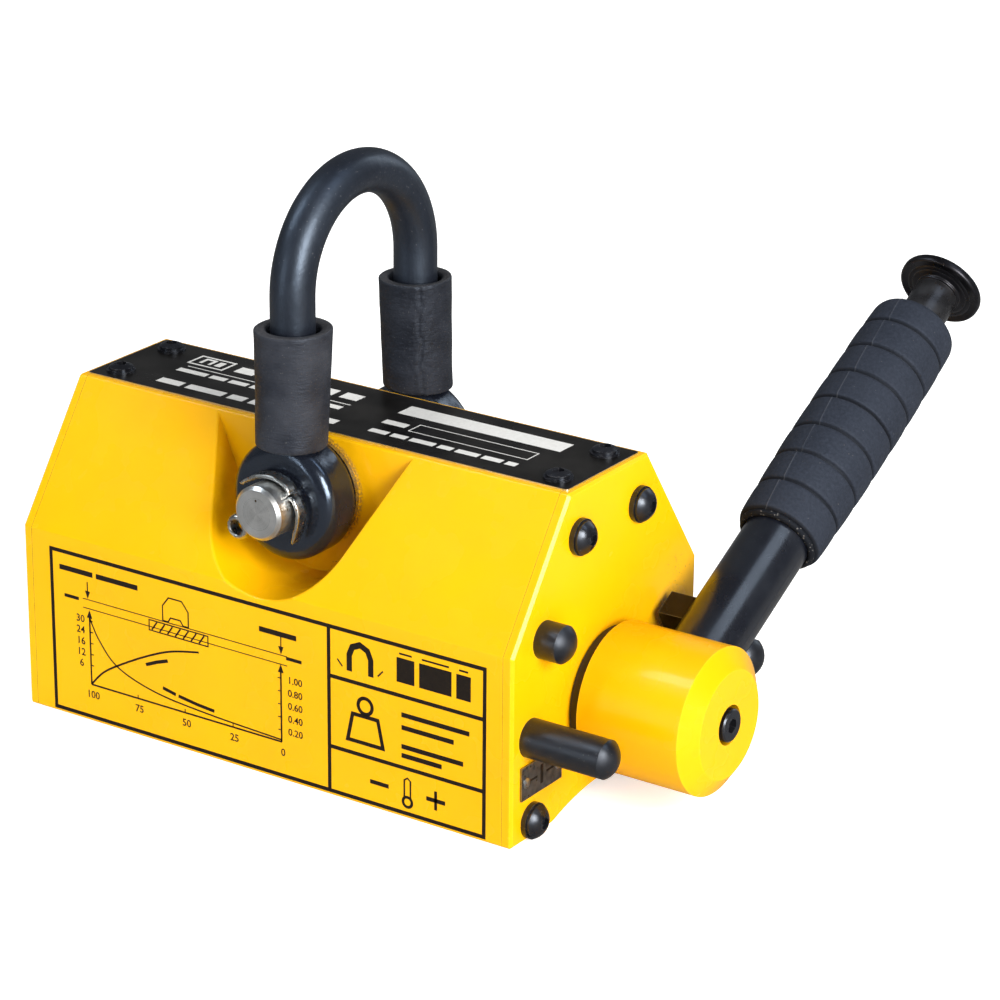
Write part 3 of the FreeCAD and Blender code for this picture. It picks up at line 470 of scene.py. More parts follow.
# Rotor and its bearings
# A steel cylinder split about a row of block magnets, with brass bars at the sides and flanged stub
# shafts screwed on both ends, turning in bronze bushes held by aluminium carriers.
ROUND_X = (30.0, 0.6, 0.6)
rotor_steel = bright_metal("rotor_steel", (0.5, 0.5, 0.51), (0.33, 0.33, 0.33), ROUND_X, 0.26, 0.42)
dress(rotor_steel, "rotor_upper_segment", "rotor_lower_segment", "drive_shaft", "idle_shaft", "hub_key")
rotor_brass = bright_metal("rotor_brass", (0.7, 0.54, 0.29), (0.45, 0.32, 0.15), ALONG_X, 0.3, 0.45)
dress(rotor_brass, "rotor_side_bars")
dress(bar_aluminium, "drive_bearing_carrier", "idle_bearing_carrier")
bush_bronze = bright_metal("bush_bronze", (0.52, 0.33, 0.17), (0.3, 0.18, 0.09), EVEN, 0.35, 0.55)
dress(bush_bronze, "drive_bush", "idle_bush", "guide_bush")

# Blackened screws, washers and pins
# Carbon steel parts blackened in hot salts and oiled. Handling has rubbed the corners back to grey
# and left fine marks along the long pins. Screws are M6 with hex sockets.


def blackened_steel(name, lay, rough, hue=(0.006, 0.006, 0.008), bare=0.5, marks_along=(900.0,) * 3):
    """Black oxide on steel, satin with oil, grey where it is rubbed."""
    mix = Finish(name)
    grain = mix.effect(mottle, Scale=60.0, Stretch=lay, Detail=5.0, Contrast=1.3)
    cloud = mix.effect(mottle, Scale=120.0, Detail=6.0, Contrast=1.8)
    pale_edges = mix.effect(worn_edge, Radius=0.45 * MM, Reach=0.14, Break_Scale=500.0, Share=bare)
    lines = mix.effect(hairlines, Across=marks_along, Share=0.12)
    dust = mix.effect(specks, Scale=1500.0, Share=0.05, Size=0.25)
    shade = mix.tint(cloud, hue, (hue[0] * 2.4, hue[1] * 2.3, hue[2] * 2.1))
    shade = mix.over(shade, (0.16, 0.16, 0.17), mix.most(pale_edges, lines), 0.5)
    mix.put(Base_Color=mix.tint(mix.times(dust, 0.3), shade, (0.2, 0.19, 0.17)))
    mix.put(Metallic=0.3, Specular_IOR_Level=0.9, Specular_Tint=(0.8, 0.88, 1.0))
    mix.put(Roughness=mix.remap(cloud, 0.25, 0.75, rough - 0.08, rough + 0.1))
    under = mix.bump(cloud, 0.03 * MM, 0.7)
    mix.put(Normal=mix.bump(grain, 0.012 * MM, 0.8, under))
    return mix.material


screw_black = blackened_steel("screw_black", EVEN, 0.3)
dress(screw_black, "end_plate_screws", "end_plate_washers", "top_plate_screws", "rotor_screws", "hub_screw")
dress(screw_black, "hub_washer", "lever_grub_screw")
RUBBED_ALONG_X = (60.0, 1800.0, 1800.0)
pin_black = blackened_steel("pin_black", (14.0, 3.0, 3.0), 0.4, bare=0.7, marks_along=RUBBED_ALONG_X)
dress(pin_black, "catch_pin", "on_stop_pin", "off_stop_pin")
# The hub spacer is blackened steel tinted reddish brown to stand for the shadow in the gap between hub and
# end plate: partly painted shade.
shaded_spacer_black = blackened_steel("shaded_spacer_black", ROUND_X, 0.5, hue=(0.012, 0.008, 0.006))
dress(shaded_spacer_black, "hub_spacer")

# Printed chart on the front face
# Black screen print on the enamel: a framed chart of pull against plate thickness and air gap, and
# three cells with pictograms. The print stands a few hundredths of a millimetre on the face.
INK_RISE = 0.045 * MM
INK_ROOT = 0.03 * MM
FRAME_LINE = 1.5 * MM
THIN_LINE = 0.42 * MM


class Print:
    """Flat ink shapes drawn in millimetres on one face, then raised to closed solids."""

    def __init__(self, origin, across, up):
        self.ink = bmesh.new()
        self.place = Matrix((across, up, across.cross(up))).transposed().to_4x4()
        self.place.translation = origin

    def shape(self, points):
        """A filled outline."""
        corners = [self.ink.verts.new((u * MM, v * MM, 0.0)) for u, v in points]
        self.ink.faces.new(corners)

    def line(self, points, width, closed=False):
        """A stroke of even width along points, in one piece with mitred corners."""
        flat = [Vector(p) * MM for p in points]
        last = len(flat) - 1
        rails = []
        for i, here in enumerate(flat):
            before = flat[i - 1] if i or closed else here
            after = flat[(i + 1) % len(flat)] if i < last or closed else here
            come = (here - before).normalized() if i or closed else (after - here).normalized()
            go = (after - here).normalized() if i < last or closed else come
            mid = (come + go).normalized()
            side = Vector((-mid.y, mid.x))
            reach = width / 2 / max(0.35, side.dot(Vector((-come.y, come.x))))
            rails.append([self.ink.verts.new((*(here + side * s * reach), 0.0)) for s in (-1, 1)])
        pairs = list(zip(rails, rails[1:])) + ([(rails[-1], rails[0])] if closed else [])
        for (a, b), (c, d) in pairs:
            self.ink.faces.new((a, c, d, b))

    def bar(self, u0, v0, u1, v1):
        self.shape([(u0, v0), (u1, v0), (u1, v1), (u0, v1)])

    def frame(self, u0, v0, u1, v1, width):
        self.line([(u0, v0), (u1, v0), (u1, v1), (u0, v1)], width, closed=True)

    def ring(self, u, v, radius, width, steps=28):
        turn = [2 * math.pi * i / steps for i in range(steps)]
        self.line([(u + radius * math.cos(a), v + radius * math.sin(a)) for a in turn], width, closed=True)

    def arrow(self, u, v, length, width, head):
        """An upright arrow from (u, v); a negative length points it down."""
        turn = 1 if length > 0 else -1
        tip = v + length
        self.line([(u, v), (u, tip - turn * head * 0.9)], width)
        self.shape([(u - head * 0.4, tip - turn * head), (u + head * 0.4, tip - turn * head), (u, tip)])

    def numeral(self, text, u, v, height):
        """A plain number, centred on (u, v)."""
        curve = bpy.data.curves.new("numeral", "FONT")
        curve.body = text
        curve.size = height * MM * 1.4
        curve.align_x = "CENTER"
        curve.align_y = "CENTER"
        curve.resolution_u = 3
        curve.offset = 0.05 * MM
        drawn = bpy.data.objects.new("numeral", curve)
        outline = bpy.data.meshes.new_from_object(drawn)
        outline.transform(Matrix.Translation((u * MM, v * MM, 0.0)))
        self.ink.from_mesh(outline)
        bpy.data.objects.remove(drawn)
        bpy.data.meshes.remove(outline)
        bpy.data.curves.remove(curve)

    def raise_ink(self, name, material, body):
        """Turns the flat shapes into thin closed solids on their face."""
        bmesh.ops.remove_doubles(self.ink, verts=self.ink.verts, dist=0.00002)
        bmesh.ops.recalc_face_normals(self.ink, faces=self.ink.faces)
        for face in self.ink.faces:
            if face.normal.z < 0:
                face.normal_flip()
        raised = bmesh.ops.extrude_face_region(self.ink, geom=self.ink.faces[:])["geom"]
        tops = [v for v in raised if isinstance(v, bmesh.types.BMVert)]
        bmesh.ops.translate(self.ink, verts=tops, vec=(0, 0, INK_RISE + INK_ROOT))
        bmesh.ops.translate(self.ink, verts=self.ink.verts, vec=(0, 0, -INK_ROOT))
        bmesh.ops.recalc_face_normals(self.ink, faces=self.ink.faces)
        bmesh.ops.transform(self.ink, matrix=self.place, verts=self.ink.verts)
        mesh = bpy.data.meshes.new(name)
        self.ink.to_mesh(mesh)
        self.ink.free()
        mesh.materials.append(material)
        piece = bpy.data.objects.new(name, mesh)
        bpy.context.scene.collection.objects.link(piece)
        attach(piece, body)
        return piece


def printing_ink(name, full, thin):
    """Screen ink: a little uneven in cover, duller than what it lies on."""
    mix = Finish(name)
    cover = mix.effect(mottle, Scale=700.0, Detail=4.0, Contrast=1.6)
    drift = mix.effect(mottle, Scale=40.0, Detail=2.0)
    gaps = mix.effect(specks, Scale=1100.0, Share=0.05, Size=0.3)
    shade = mix.over(full, thin, cover, 0.6)
    mix.put(Base_Color=mix.tint(mix.times(gaps, 0.7), shade, thin))
    mix.put(Roughness=mix.remap(drift, 0.3, 0.7, 0.32, 0.5))
    mix.put(Specular_IOR_Level=0.25)
    mix.put(Normal=mix.bump(cover, 0.006 * MM))
    return mix.material


def curve_through(points, steps=12):
    """A smooth run of points through the given ones."""
    path = []
    ends = [points[0]] + points + [points[-1]]
    for a, b, c, d in zip(ends, ends[1:], ends[2:], ends[3:]):
        a, b, c, d = (Vector(p) for p in (a, b, c, d))
        for i in range(steps):
            t = i / steps
            bend = (2 * a - 5 * b + 4 * c - d) * t * t + (3 * b - a - 3 * c + d) * t**3
            path.append((2 * b + (c - a) * t + bend) / 2)
    return path + [Vector(points[-1])]


WORDS = random.Random(7)


def printed_words(sheet, start, end, low, high, longest):
    """A row of blank blocks set like the words of a line of print."""
    at = start
    while at < end - 3.0:
        width = min(WORDS.uniform(0.4, 1.0) * longest, end - at)
        sheet.bar(at, low, at + width, high)
        at += width + (high - low) * 0.55


black_ink = printing_ink("black_ink", (0.007, 0.004, 0.003), (0.02, 0.012, 0.005))
front_face_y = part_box("front_pole")[0].y
chart = Print(Vector((0, front_face_y, 0)), Vector((1, 0, 0)), Vector((0, 0, 1)))
chart.frame(-95.0, 2.0, 96.7, 64.9, FRAME_LINE)
chart.line([(30.9, 2.7), (30.9, 64.2)], FRAME_LINE)
chart.line([(31.6, 46.2), (96.0, 46.2)], FRAME_LINE)
chart.line([(31.6, 19.2), (96.0, 19.2)], FRAME_LINE)

AXIS_LEFT, AXIS_RIGHT, AXIS_FOOT = -77.6, 9.8, 15.0
chart.line([(AXIS_LEFT, AXIS_FOOT), (AXIS_RIGHT, AXIS_FOOT)], 0.7 * MM)
chart.arrow(AXIS_LEFT, AXIS_FOOT, 29.5, 0.7 * MM, 3.2)
chart.arrow(AXIS_RIGHT, AXIS_FOOT, 30.0, 0.7 * MM, 3.2)
for level in (48.5, 45.0):
    chart.line([(-80.5, level), (12.7, level)], 0.36 * MM)
chart.arrow(-78.2, 55.4, -6.6, 0.5 * MM, 3.0)
chart.arrow(10.0, 55.4, -6.6, 0.5 * MM, 3.0)
for i, label in enumerate(("6", "12", "16", "24", "30")):
    height = AXIS_FOOT + 7.6 + i * 4.4
    chart.line([(AXIS_LEFT, height), (AXIS_LEFT + 1.4, height)], THIN_LINE)
    chart.numeral(label, AXIS_LEFT - 4.4, height, 2.9)
for i, label in enumerate(("0.20", "0.40", "0.60", "0.80", "1.00")):
    height = AXIS_FOOT + 4.6 + i * 5.0
    chart.line([(AXIS_RIGHT - 1.4, height), (AXIS_RIGHT, height)], THIN_LINE)
    chart.numeral(label, AXIS_RIGHT + 6.2, height, 2.7)
for i, label in enumerate(("100", "75", "50", "25", "0")):
    along = AXIS_LEFT + (AXIS_RIGHT - AXIS_LEFT) * i / 4
    chart.line([(along, AXIS_FOOT), (along, AXIS_FOOT + 1.4)], THIN_LINE)
    chart.numeral(label, along + 0.6, AXIS_FOOT - 4.1, 2.9)
falling = [(-77.6, 41.5), (-73.4, 33.6), (-64.9, 25.0), (-48.0, 19.6), (-24.0, 17.2), (9.6, 15.8)]
chart.line(curve_through(falling), 0.6 * MM)
rising = [(-77.4, 15.4), (-72.0, 21.0), (-64.9, 25.6), (-52.0, 32.4), (-40.0, 37.4), (-27.0, 40.3)]
chart.line(curve_through(rising), 0.75 * MM)

for start, end, low in ((-91.2, -75.6, 57.6), (-74.0, -54.6, 57.6), (0.4, 16.8, 55.4)):
    chart.bar(start, low, end, low + 2.0)
for middle in (-85.8, 15.6):
    chart.bar(middle - 3.4, 47.2, middle + 3.4, 48.5)
chart.line([(-51.6, 29.4), (-46.6, 31.6), (-41.4, 33.4)], 1.3 * MM)
chart.line([(-44.0, 22.2), (-38.0, 21.0)], 1.3 * MM)
chart.line([(-36.8, 20.8), (-28.0, 19.6), (-20.4, 19.0)], 1.3 * MM)

BAR_LEFT, BAR_RIGHT, BAR_LOW, BAR_HIGH = -49.6, -22.7, 43.6, 47.6
chart.frame(BAR_LEFT, BAR_LOW, BAR_RIGHT, BAR_HIGH, 0.5 * MM)
for i in range(7):
    foot = BAR_LEFT + 1.2 + i * 3.6
    chart.line([(foot, BAR_LOW + 0.3), (foot + 2.4, BAR_HIGH - 0.3)], 0.65 * MM)
lifter_mark = [(-43.2, 48.8), (-43.2, 54.6), (-40.4, 58.2), (-34.4, 58.2), (-31.5, 54.6), (-31.5, 48.8)]
lifter_mark += [(-33.9, 48.8), (-35.2, 50.6), (-39.6, 50.6), (-40.8, 48.8)]
chart.line(lifter_mark, 0.55 * MM, closed=True)

MAGNET_MID, MAGNET_FOOT = 44.4, 50.0
horseshoe = [(-4.6, 0.0), (-4.6, 6.2), (-3.2, 9.4), (0.0, 10.8), (3.2, 9.4), (4.6, 6.2), (4.6, 0.0)]
chart.line([(MAGNET_MID + u, MAGNET_FOOT + v) for u, v in horseshoe], 2.3 * MM)
for side in (-1, 1):
    glint = [(MAGNET_MID + side * 7.6, MAGNET_FOOT + 1.0), (MAGNET_MID + side * 9.8, MAGNET_FOOT + 3.4)]
    chart.line(glint, 0.6 * MM)
for start, end in ((60.0, 67.5), (69.5, 83.0), (85.0, 91.0)):
    chart.bar(start, 51.2, end, 60.4)
    chart.bar(start + 1.1, 61.6, end - 1.1, 62.3)

LOAD_MID, LOAD_FOOT = 46.5, 24.0
load = [(LOAD_MID - 7.6, LOAD_FOOT), (LOAD_MID - 5.4, LOAD_FOOT + 10.2)]
load += [(LOAD_MID + 5.4, LOAD_FOOT + 10.2), (LOAD_MID + 7.6, LOAD_FOOT)]
chart.line(load, 1.5 * MM, closed=True)
chart.ring(LOAD_MID, 38.2, 3.0, 1.4 * MM)
for level, start, end in ((39.2, 62.0, 90.5), (34.4, 62.0, 84.0), (27.2, 62.0, 88.0), (23.8, 62.0, 79.0)):
    chart.bar(start, level - 0.9, end, level + 0.9)

GAUGE_MID = 64.5
for side in (-1, 1):
    wall = GAUGE_MID + side * 1.3
    chart.line([(wall, 11.4 + side * 3.4), (wall, 11.4 - side * 3.4)], 0.7 * MM)
chart.line([(GAUGE_MID - 1.3, 14.6), (GAUGE_MID, 15.6), (GAUGE_MID + 1.3, 14.6)], 0.6 * MM)
chart.ring(GAUGE_MID, 6.4, 1.9, 1.1 * MM)
for side in (-1, 1):
    chart.bar(GAUGE_MID + side * 12.0 - 4.0, 9.4, GAUGE_MID + side * 12.0 + 4.0, 11.0)
chart.bar(75.9, 6.6, 77.1, 13.8)
chart.raise_ink("front_chart", black_ink, "housing")

# Marker plates
# Thin grey metal plates riveted beside the stop pins, one for each end of the lever's travel, with
# an upright bar for on and a ring for off.
marker_metal = bright_metal("marker_metal", (0.16, 0.165, 0.17), (0.07, 0.072, 0.075), EVEN, 0.26, 0.42)
dress(marker_metal, "on_marker_plate", "off_marker_plate")
for node_name, piece_name in (("on_marker_plate", "on_mark"), ("off_marker_plate", "off_mark")):
    low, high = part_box(node_name)
    middle = (low + high) / 2
    mark = Print(Vector((high.x, middle.y, middle.z)), Vector((0, 1, 0)), Vector((0, 0, 1)))
    if piece_name == "on_mark":
        mark.bar(-0.8, -3.6, 0.8, 3.6)
        for side in (-1, 1):
            mark.bar(side * 5.0 - 2.2, -0.4, side * 5.0 + 2.2, 0.4)
    else:
        mark.ring(0.0, 0.0, 3.0, 1.3 * MM)
    mark.raise_ink(piece_name, black_ink, "housing")

# Top plate
# An aluminium strip, black anodised and white printed, held by four flanged button screws. Its sawn
# edge shows the bare metal.


def anodised_black(name):
    """Black anodising, bare along the sawn edge, with rub marks and a little dust."""
    mix = Finish(name)
    up = mix.parts(mix.normal())[2]
    edge = mix.below(up, 0.5)
    rub = mix.effect(worn_edge, Radius=0.5 * MM, Reach=0.1, Share=0.9)
    bare = mix.most(edge, mix.times(rub, 0.5))
    lines = mix.effect(hairlines, Across=(40.0, 1600.0, 1600.0), Share=0.1)
    dust = mix.effect(settled_dust, Scale=70.0, Amount=0.06, Uprightness=0.2)
    grain = mix.effect(mottle, Scale=900.0, Detail=3.0)
    cloud = mix.effect(mottle, Scale=30.0, Detail=3.0)
    shade = mix.tint(cloud, (0.003, 0.0024, 0.002), (0.006, 0.005, 0.004))
    marks = mix.most(mix.times(lines, 0.3), dust)
    shade = mix.tint(marks, shade, (0.2, 0.19, 0.18))
    shade = mix.tint(bare, shade, (0.78, 0.78, 0.77))
    mix.put(Base_Color=shade)
    mix.put(Metallic=bare)
    mix.put(Roughness=mix.remap(cloud, 0.3, 0.7, 0.24, 0.34))
    mix.put(Specular_IOR_Level=0.22)
    mix.put(Normal=mix.bump(grain, 0.006 * MM))
    return mix.material


dress(anodised_black("plate_black"), "top_plate")

white_ink = printing_ink("white_ink", (0.82, 0.82, 0.80), (0.62, 0.61, 0.59))
plate_top_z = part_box("top_plate")[1].z
legend = Print(Vector((0, 0, plate_top_z)), Vector((1, 0, 0)), Vector((0, 1, 0)))
legend.bar(13.6, 6.6, 83.0, 15.4)
legend.frame(27.6, -6.4, 78.0, 0.9, 0.4 * MM)
legend.bar(14.6, -4.9, 24.6, -1.1)

printed_words(legend, 15.6, 78.0, -14.6, -11.4, 13.0)
printed_words(legend, -62.0, -5.5, 8.2, 14.0, 12.0)
legend.frame(-82.0, 6.8, -66.5, 15.6, 0.9 * MM)
legend.line([(-78.2, 9.0), (-78.2, 13.6), (-74.2, 13.6), (-74.2, 9.0)], 1.3 * MM)
legend.bar(-71.9, 9.0, -69.2, 13.6)
legend.bar(-79.5, 3.2, -5.0, 3.7)
printed_words(legend, -80.5, -6.0, -2.6, 0.6, 15.0)
printed_words(legend, -79.0, 1.8, -16.2, -11.8, 17.0)
legend.raise_ink("top_plate_legend", white_ink, "housing")

# Rivets, washers and split pins
# Bright zinc plating over steel: the rivets of the marker plates, the thin washers inside the shackle
# eyes, and the split pins. The split pins have begun to rust at their bent tips.


def zinc(name, rust):
    """Zinc plated steel; rust is how much of it is freckled brown."""
    mix = Finish(name)
    flow = mix.effect(mottle, Scale=160.0, Detail=5.0, Contrast=1.6)
    cloud = mix.effect(mottle, Scale=420.0, Detail=4.0, Contrast=1.4)
    freckles = mix.effect(specks, Scale=1000.0, Share=rust, Size=0.42)
    worn = mix.effect(worn_edge, Radius=0.3 * MM, Reach=0.12, Share=1.0)
    shade = mix.tint(flow, (0.6, 0.6, 0.58), (0.34, 0.34, 0.32))
    shade = mix.over(shade, (0.75, 0.75, 0.73), worn, 0.6)
    mix.put(Base_Color=mix.tint(freckles, shade, (0.12, 0.06, 0.03)))
    mix.put(Metallic=mix.minus(1.0, mix.times(freckles, 0.8)))
    rough = mix.remap(cloud, 0.3, 0.7, 0.22, 0.38)
    mix.put(Roughness=mix.plus(rough, mix.times(freckles, 0.4)))
    mix.put(Normal=mix.bump(cloud, 0.02 * MM, 0.7))
    return mix.material


dress(zinc("zinc_clean", 0.06), "marker_rivets", "shackle_washers", "latch_screw")

HALF_WIRE_WIDTH = 2.6 * MM
HALF_WIRE_THICKNESS = 2.0 * MM
SPLIT_HOLE_ANGLE = math.radians(35.7)
EYE_LOOP_RADIUS = 2.9 * MM
SHANK_OFFSET = 0.05 * MM


def split_pin_path():
    """The run of the half round wire in the plane of the pin's legs: one tip, the eye, the other tip."""
    out = Vector((math.cos(SPLIT_HOLE_ANGLE), math.sin(SPLIT_HOLE_ANGLE)))
    side = Vector((-out.y, out.x))

    def on_circle(radius, degrees):
        angle = SPLIT_HOLE_ANGLE + math.radians(degrees)
        return Vector((math.cos(angle), math.sin(angle))) * radius * MM

    upper = [on_circle(14.6, 116), on_circle(13.4, 100), on_circle(12.6, 78), on_circle(12.4, 52)]
    upper += [on_circle(12.4, 32), on_circle(12.5, 16), on_circle(11.8, 5)]
    lower = [on_circle(11.8, -5), on_circle(12.6, -15), on_circle(13.0, -32), on_circle(13.2, -52)]
    lower += [on_circle(13.9, -70), on_circle(15.2, -84)]
    inward = [out * 9.0 * MM + side * SHANK_OFFSET, -out * 12.4 * MM + side * SHANK_OFFSET]
    back = [-out * 12.4 * MM - side * SHANK_OFFSET, out * 9.0 * MM - side * SHANK_OFFSET]
    centre = -out * 17.6 * MM
    loop = []
    for degrees in range(-135, 136, 30):
        turn = math.radians(degrees)
        loop.append(centre + (side * -math.sin(turn) - out * math.cos(turn)) * EYE_LOOP_RADIUS)
    return curve_through(upper + inward + loop + back + lower, 5)


def tube_faces(rings, around, closed):
    """Faces that join rings of points: round to the first ring again if closed, else capped at the ends."""
    faces = [
        (i * around + j, i * around + (j + 1) % around,
         (i + 1) % rings * around + (j + 1) % around, (i + 1) % rings * around + j)
        for i in range(rings if closed else rings - 1)
        for j in range(around)
    ]
    if closed:
        return faces
    last = (rings - 1) * around
    return faces + [tuple(range(around)), tuple(range(last, last + around))]


def new_piece(name, verts, faces, material, body, smooth=True):
    """A finished piece from its points and faces."""
    mesh = bpy.data.meshes.new(name)
    mesh.from_pydata(verts, [], faces)
    mesh.validate()
    mesh.polygons.foreach_set("use_smooth", [smooth] * len(mesh.polygons))
    mesh.materials.append(material)
    tidy = bmesh.new()
    tidy.from_mesh(mesh)
    bmesh.ops.recalc_face_normals(tidy, faces=tidy.faces)
    tidy.to_mesh(mesh)
    tidy.free()
    piece = bpy.data.objects.new(name, mesh)
    bpy.context.scene.collection.objects.link(piece)
    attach(piece, body)
    return piece


def make_split_pin(name, node_name, material):
    """Half round wire bent back on itself, drawn through the shackle pin and opened."""
    low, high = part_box(node_name)
    middle_y = (low.y + high.y) / 2
    path = split_pin_path()
    arc = [math.pi * i / 8 for i in range(9)]
    section = [(HALF_WIRE_WIDTH * math.cos(a), HALF_WIRE_THICKNESS * math.sin(a) ** 0.8) for a in arc]
    section += [(-HALF_WIRE_WIDTH * 0.5, 0.03 * MM), (HALF_WIRE_WIDTH * 0.5, 0.03 * MM)]
    verts = []
    for i, here in enumerate(path):
        go = (path[min(i + 1, len(path) - 1)] - path[max(i - 1, 0)]).normalized()
        outward = Vector((go.y, -go.x))
        from_tip = min(i, len(path) - 1 - i) / 6
        taper = 0.72 + 0.28 * min(1.0, from_tip)
        for across, thick in section:
            spot = here + outward * thick * taper
            verts.append((pin_centre.x + spot.x, middle_y + across * taper, pin_centre.z + spot.y))
    faces = tube_faces(len(path), len(section), False)
    piece = new_piece(name, verts, faces, material, "housing")
    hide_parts(node_name)


zinc_rusting = zinc("zinc_rusting", 0.05)
make_split_pin("front_cotter", "front_split_pin", zinc_rusting)
make_split_pin("rear_cotter", "rear_split_pin", zinc_rusting)

# Shackle pin
# A 20 mm bar of bright steel turned in the lathe, so its ends carry fine rings about the centre.


def turned_bright(name):
    """Bright steel with fine rings about the pin's axis, a few stains, and a painted sheen in its colour
    that turns with them.
    """
    mix = Finish(name)
    x, y, z = mix.parts(mix.own_place())
    from_axis = mix.on_vector("DISTANCE", mix.vector(x, 0.0, z), (pin_centre.x, 0.0, pin_centre.z))
    ring_place = mix.vector(from_axis, y, 0.0)
    ring_tone = mix.cloud(ring_place, 3200.0, 4.0)
    cloud = mix.effect(mottle, Scale=220.0, Detail=5.0, Contrast=1.5)
    stain = mix.effect(specks, Scale=380.0, Share=0.07, Size=0.2)
    lean = mix.calc("DIVIDE", mix.minus(x, pin_centre.x), from_axis)
    rise = mix.calc("DIVIDE", mix.minus(z, pin_centre.z), from_axis)
    around_pin = mix.vector(lean, 0.0, rise)
    # Painted sheen: the colour is brightened by direction round the pin's axis, standing in for a
    # reflection.
    painted_sheen = mix.cloud(around_pin, 1.7, 1.0)
    shade = mix.tint(ring_tone, (0.46, 0.46, 0.455), (0.8, 0.8, 0.79))
    shade = mix.tint(mix.remap(painted_sheen, 0.35, 0.65, 0.0, 0.6), shade, (0.86, 0.86, 0.85))
    shade = mix.over(shade, (0.42, 0.4, 0.36), cloud, 0.3)
    mix.put(Base_Color=mix.tint(stain, shade, (0.12, 0.08, 0.05)))
    mix.put(Metallic=1.0)
    mix.put(Roughness=mix.remap(ring_tone, 0.3, 0.7, 0.26, 0.42))
    skin = mix.bump(ring_tone, 0.02 * MM)
    mix.put(Normal=mix.bump(cloud, 0.02 * MM, 0.5, skin))
    return mix.material


dress(turned_bright("pin_bright"), "shackle_pin")

# Shackle
# A 16 mm bar bent hot into a bow and upset into round eyes, blasted and coated satin black. Hooks
# have polished and scuffed the inside of the crown.


def coated_black(name):
    """Satin black coating over blasted steel, glossier on the eyes and scuffed towards the crown."""
    mix = Finish(name)
    crown_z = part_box("shackle")[1].z
    height = mix.parts(mix.own_place())[2]
    high_up = mix.remap(height, crown_z - 45.0 * MM, crown_z - 12.0 * MM)
    scale_tone = mix.effect(mottle, Scale=260.0, Detail=6.0, Contrast=1.7)
    cloud = mix.effect(mottle, Scale=34.0, Detail=4.0, Contrast=1.6)
    fine = mix.effect(mottle, Scale=1300.0, Detail=3.0, Contrast=1.5)
    lines = mix.effect(hairlines, Across=(1500.0, 90.0, 260.0), Share=0.22)
    scuffs = mix.times(lines, high_up)
    spots = mix.effect(specks, Scale=1100.0, Share=mix.times(high_up, 0.12), Size=0.26)
    shade = mix.tint(cloud, (0.003, 0.0035, 0.006), (0.007, 0.009, 0.015))
    shade = mix.over(shade, (0.02, 0.023, 0.034), fine, 0.25)
    marks = mix.times(mix.most(scuffs, spots), 0.5)
    mix.put(Base_Color=mix.tint(marks, shade, (0.11, 0.11, 0.12)))
    mix.put(Specular_IOR_Level=0.9, Specular_Tint=(0.66, 0.8, 1.0))
    rough = mix.remap(cloud, 0.3, 0.7, 0.36, 0.48)
    on_eye = mix.remap(height, pin_centre.z + 26.0 * MM, pin_centre.z + 16.0 * MM, 0.0, 0.2)
    mix.put(Roughness=mix.minus(rough, on_eye))
    skin = mix.bump(scale_tone, 0.1 * MM, 0.9)
    mix.put(Normal=mix.bump(fine, 0.03 * MM, 0.9, skin))
    return mix.material


dress(coated_black("shackle_black"), "shackle")

# Rubber sleeves on the shackle
# Two short lengths of hose pushed over the legs. They keep the bow upright by pressing on the body's
# top edges, which bends them outward and dents them at the foot. The rear one has wrinkled.
SLEEVE_TOP_Y = 36.5 * MM
SLEEVE_FOOT_Y = 38.3 * MM
SLEEVE_BORE = 9.6 * MM
SLEEVE_CLEAR = 0.3 * MM
COOL_SHEEN = (0.72, 0.82, 1.0)


def hose_rubber(name, dark, light):
    """Black rubber hose: a dull dusty skin with a faint cloth print, paler where it was cut."""
    mix = Finish(name)
    cloud = mix.effect(mottle, Scale=75.0, Detail=8.0, Contrast=2.6)
    wrap = mix.effect(mottle, Scale=300.0, Stretch=(1.0, 1.0, 3.4), Detail=3.0, Contrast=1.5)
    fine = mix.effect(mottle, Scale=1500.0, Detail=3.0, Contrast=1.4)
    rim = mix.effect(worn_edge, Radius=1.2 * MM, Reach=0.25, Break_Scale=700.0, Share=1.0)
    flecks = mix.effect(specks, Scale=1500.0, Share=0.06, Size=0.24)
    facing = mix.parts(mix.normal())[2]
    cut_face = mix.calc("GREATER_THAN", mix.size(facing), 0.75)
    shade = mix.tint(cloud, dark, light)
    shade = mix.over(shade, (0.034, 0.036, 0.048), wrap, 0.25)
    pale = mix.most(mix.times(rim, 0.4), mix.times(cut_face, 0.22))
    shade = mix.tint(mix.times(pale, mix.remap(fine, 0.2, 0.8, 0.3, 1.0)), shade, (0.16, 0.15, 0.14))
    speckled = mix.over(shade, (0.16, 0.155, 0.14), flecks, 0.3)
    mix.put(Base_Color=speckled)
    mix.put(Specular_IOR_Level=0.45, Specular_Tint=COOL_SHEEN)
    mix.put(Roughness=mix.remap(cloud, 0.25, 0.75, 0.52, 0.72))
    under = mix.bump(wrap, 0.16 * MM, 0.9)
    mix.put(Normal=mix.bump(fine, 0.07 * MM, 0.9, under))
    return mix.material


def hose_outline(height, radius, rim):
    """(height, radius, is outside) round the wall: up the outside, over the rim and down the bore."""
    corner = [(rim * (1 - math.cos(a)), radius - rim * (1 - math.sin(a))) for a in (0.0, 0.5, 1.0)]
    outline = [(along, out, 1) for along, out in corner]
    outline += [(rim + (height - 2 * rim) * i / 40, radius, 1) for i in range(41)]
    outline += [(height - along, out, 1) for along, out in reversed(corner)]
    inner = SLEEVE_BORE
    outline += [(height - 0.1 * MM, inner + 0.9 * MM, 0), (height - 0.9 * MM, inner, 0)]
    outline += [(height * i / 12, inner, 0) for i in range(11, 0, -1)]
    return outline + [(0.9 * MM, inner, 0), (0.1 * MM, inner + 0.9 * MM, 0)]


